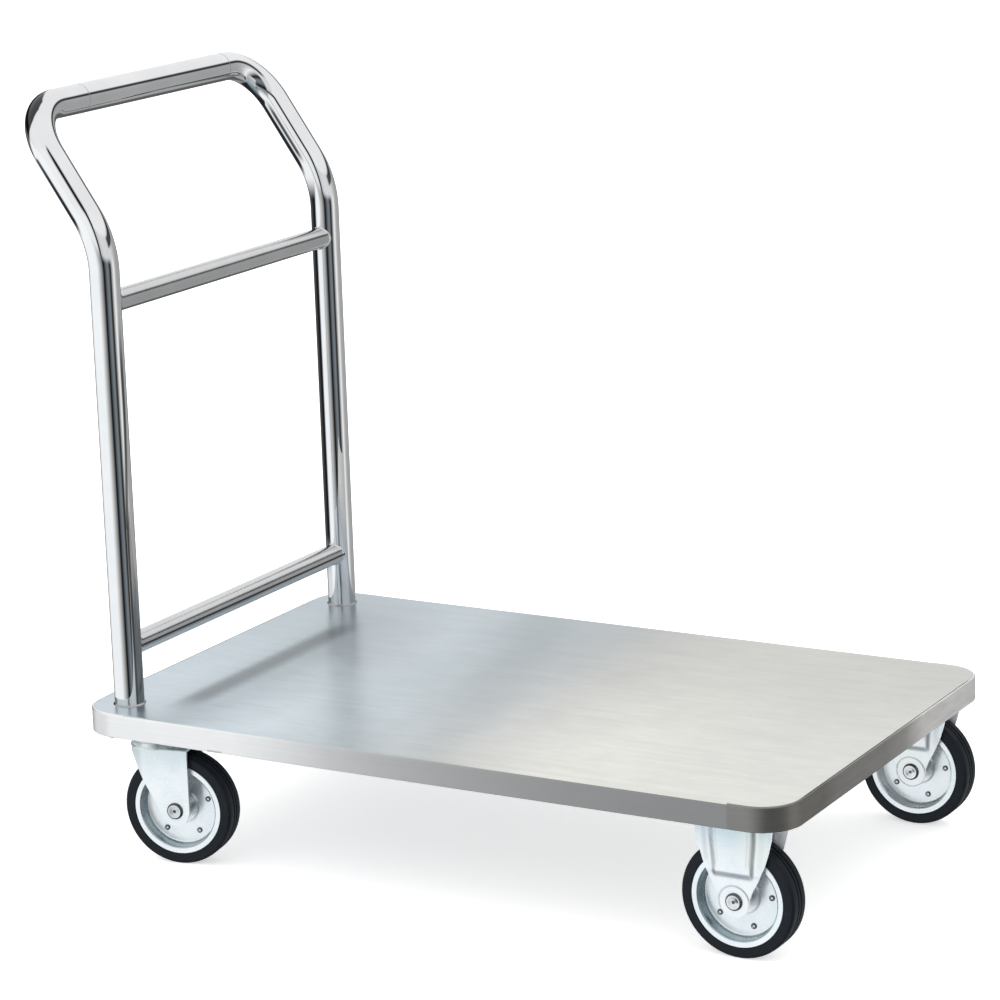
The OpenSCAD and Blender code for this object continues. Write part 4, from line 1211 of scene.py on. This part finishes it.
# ------------------------------------------------------------------ floor, light, camera
me = bpy.data.meshes.new("studio_floor")
me.from_pydata([(-60, -60, 0), (60, -60, 0), (60, 60, 0), (-60, 60, 0)], [], [[0, 1, 2, 3]])
floor = bpy.data.objects.new("studio_floor", me)
bpy.context.scene.collection.objects.link(floor)
mf, nt, b = new_mat("studio_paper")
b.inputs["Base Color"].default_value = (0.90, 0.90, 0.90, 1)
b.inputs["Emission Color"].default_value = (1, 1, 1, 1)
b.inputs["Emission Strength"].default_value = 0.55
b.inputs["Roughness"].default_value = 0.95
b.inputs["Specular IOR Level"].default_value = 0.1
me.materials.append(mf)
floor.visible_glossy = False
floor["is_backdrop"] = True

world = bpy.data.worlds.new("studio")
bpy.context.scene.world = world
world.use_nodes = True
nt = world.node_tree
nt.nodes.clear()
wout = nt.nodes.new("ShaderNodeOutputWorld")
tc = node(nt, "ShaderNodeTexCoord")
dirv = tc.outputs["Generated"]


def dot(vec):
    d = node(nt, "ShaderNodeVectorMath", operation="DOT_PRODUCT")
    d.inputs[1].default_value = vec
    nt.links.new(dirv, d.inputs[0])
    return d.outputs["Value"]


AZ = 29.761
ca, sa = math.cos(math.radians(AZ)), math.sin(math.radians(AZ))
phi = math2(nt, "ARCTAN2", dot((ca, sa, 0)), dot((sa, -ca, 0)))
pos = math2(nt, "ADD", math2(nt, "DIVIDE", phi, 2 * PI), 0.5)
sep = node(nt, "ShaderNodeSeparateXYZ")
nt.links.new(dirv, sep.inputs[0])
elev = math2(nt, "MULTIPLY", math2(nt, "ARCSINE", sep.outputs[2]), 180 / PI)


def ramp(stops, fac):
    r = node(nt, "ShaderNodeValToRGB")
    cr = r.color_ramp
    cr.interpolation = "LINEAR"
    while len(cr.elements) > 1:
        cr.elements.remove(cr.elements[-1])
    first = True
    for deg, c in stops:
        p = (deg + 180) / 360
        if first:
            e = cr.elements[0]
            e.position = p
            first = False
        else:
            e = cr.elements.new(p)
        e.color = (*c, 1) if isinstance(c, tuple) else (c, c, c, 1)
    nt.links.new(fac, r.inputs[0])
    return r.outputs[0]


low = ramp([(-180, 0.30), (-152, 0.30), (-138, 0.48), (-124, (1.02, 1.05, 1.07)), (-108, (1.10, 1.13, 1.15)), (-45, (1.10, 1.13, 1.15)), (-32, 0.85), (-22, 0.58), (-14, 0.40), (-6, 0.24), (1, 0.03), (7, 0.004), (12, 0.05), (19, (0.105, 0.14, 0.17)),
            (27, (0.18, 0.22, 0.25)), (34, (0.22, 0.25, 0.275)), (40, 0.20), (46, 0.06), (52, 0.02), (57, 0.08), (64, 0.42), (72, 0.75), (80, 1.05), (88, 0.85), (96, 0.60), (106, 0.48), (116, 0.42),
            (148, 0.45), (158, 0.12), (180, 0.12)], pos)
steep = ramp([(-180, 0.0), (-166, 0.0), (-158, 1.0), (-78, 1.0), (-67, 0.0), (180, 0.0)], pos)
low = mixcol(nt, math2(nt, "MULTIPLY", steep, remap(nt, elev, -22.0, -18.0, 1.0, 0.0)), low, (0.02, 0.022, 0.028))
under = ramp([(-180, 0.0), (-110, 0.0), (-95, 0.8), (10, 0.8), (50, 0.0), (180, 0.0)], pos)
low = mixcol(nt, math2(nt, "MULTIPLY", under, remap(nt, elev, -52.0, -34.0, 1.0, 0.0)), low, (0.12, 0.18, 0.22))
mid = ramp([(-180, 1.0), (-170, 1.0), (-164, 0.04), (-112, 0.04), (-100, 0.95), (-44, 1.05), (-24, 1.05), (-10, 0.95), (-5, 0.03), (2, 0.03), (6, (0.68, 0.71, 0.74)), (24, (0.82, 0.84, 0.86)), (34, 0.85),
            (49, 0.80), (60, 0.85), (80, 0.80), (94, 0.66), (118, 0.42), (150, 0.42), (162, 0.7), (170, 1.0), (180, 1.0)], pos)
high = ramp([(-180, 1.0), (-60, 1.0), (-25, 1.0), (-9, 1.0), (-6, 0.02), (4, 0.02), (7, 1.0), (60, 1.0), (180, 1.0)], pos)
env = mixcol(nt, remap(nt, elev, -2.0, 5.0, 0.0, 1.0), low, mid)
env = mixcol(nt, remap(nt, elev, 20.0, 25.0, 0.0, 1.0), env, high)
env = mixcol(nt, remap(nt, elev, 36.0, 46.0, 0.0, 1.0), env, (1.0, 1.0, 1.0))
line_w = math2(nt, "MULTIPLY", remap(nt, elev, 10.0, 13.0, 0, 1), remap(nt, elev, 19.0, 22.0, 1, 0))
farside = ramp([(-180, 0.0), (60, 0.0), (75, 0.95), (150, 0.95), (162, 0.0), (180, 0.0)], pos)
env = mixcol(nt, math2(nt, "MULTIPLY", line_w, farside), env, (0.03, 0.03, 0.035))
bg_gloss = nt.nodes.new("ShaderNodeBackground")
nt.links.new(env, bg_gloss.inputs[0])
bg_gloss.inputs[1].default_value = 1.0
bg_flat = nt.nodes.new("ShaderNodeBackground")
bg_flat.inputs[0].default_value = (1.0, 1.0, 1.0, 1)
bg_flat.inputs[1].default_value = 1.18
lp = nt.nodes.new("ShaderNodeLightPath")
mx = nt.nodes.new("ShaderNodeMixShader")
nt.links.new(lp.outputs["Is Glossy Ray"], mx.inputs[0])
nt.links.new(bg_flat.outputs[0], mx.inputs[1])
nt.links.new(bg_gloss.outputs[0], mx.inputs[2])
nt.links.new(mx.outputs[0], wout.inputs[0])

key = bpy.data.lights.new("softbox", "AREA")
key.shape = "RECTANGLE"
key.size, key.size_y = 3.0, 2.2
key.energy = 10
ko = bpy.data.objects.new("softbox", key)
bpy.context.scene.collection.objects.link(ko)
ko.location = (-1.6, -1.4, 3.2)
ko.rotation_euler = (Vector((0, 0, 0.3)) - ko.location).to_track_quat("-Z", "Y").to_euler()
ko.visible_glossy = False

cam = bpy.data.cameras.new("camera")
co = bpy.data.objects.new("camera", cam)
bpy.context.scene.collection.objects.link(co)
a, e, ro = math.radians(29.761), math.radians(13.902), math.radians(-1.893)
right = Vector((math.cos(a), math.sin(a), 0))
back = Vector((math.sin(a) * math.cos(e), -math.cos(a) * math.cos(e), math.sin(e)))
upv = back.cross(right)
r2 = right * math.cos(ro) + upv * math.sin(ro)
u2 = -right * math.sin(ro) + upv * math.cos(ro)
mw = Matrix(((r2.x, u2.x, back.x, 1.93748), (r2.y, u2.y, back.y, -3.38861), (r2.z, u2.z, back.z, 1.36194), (0, 0, 0, 1)))
co.matrix_world = mw
cam.sensor_width = 36
cam.lens = 3569.191 / 1000 * 36
cam.clip_start, cam.clip_end = 0.05, 200
bpy.context.scene.camera = co
bpy.context.scene.view_settings.view_transform = "Standard"
bpy.context.scene.view_settings.look = "None"

lo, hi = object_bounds()
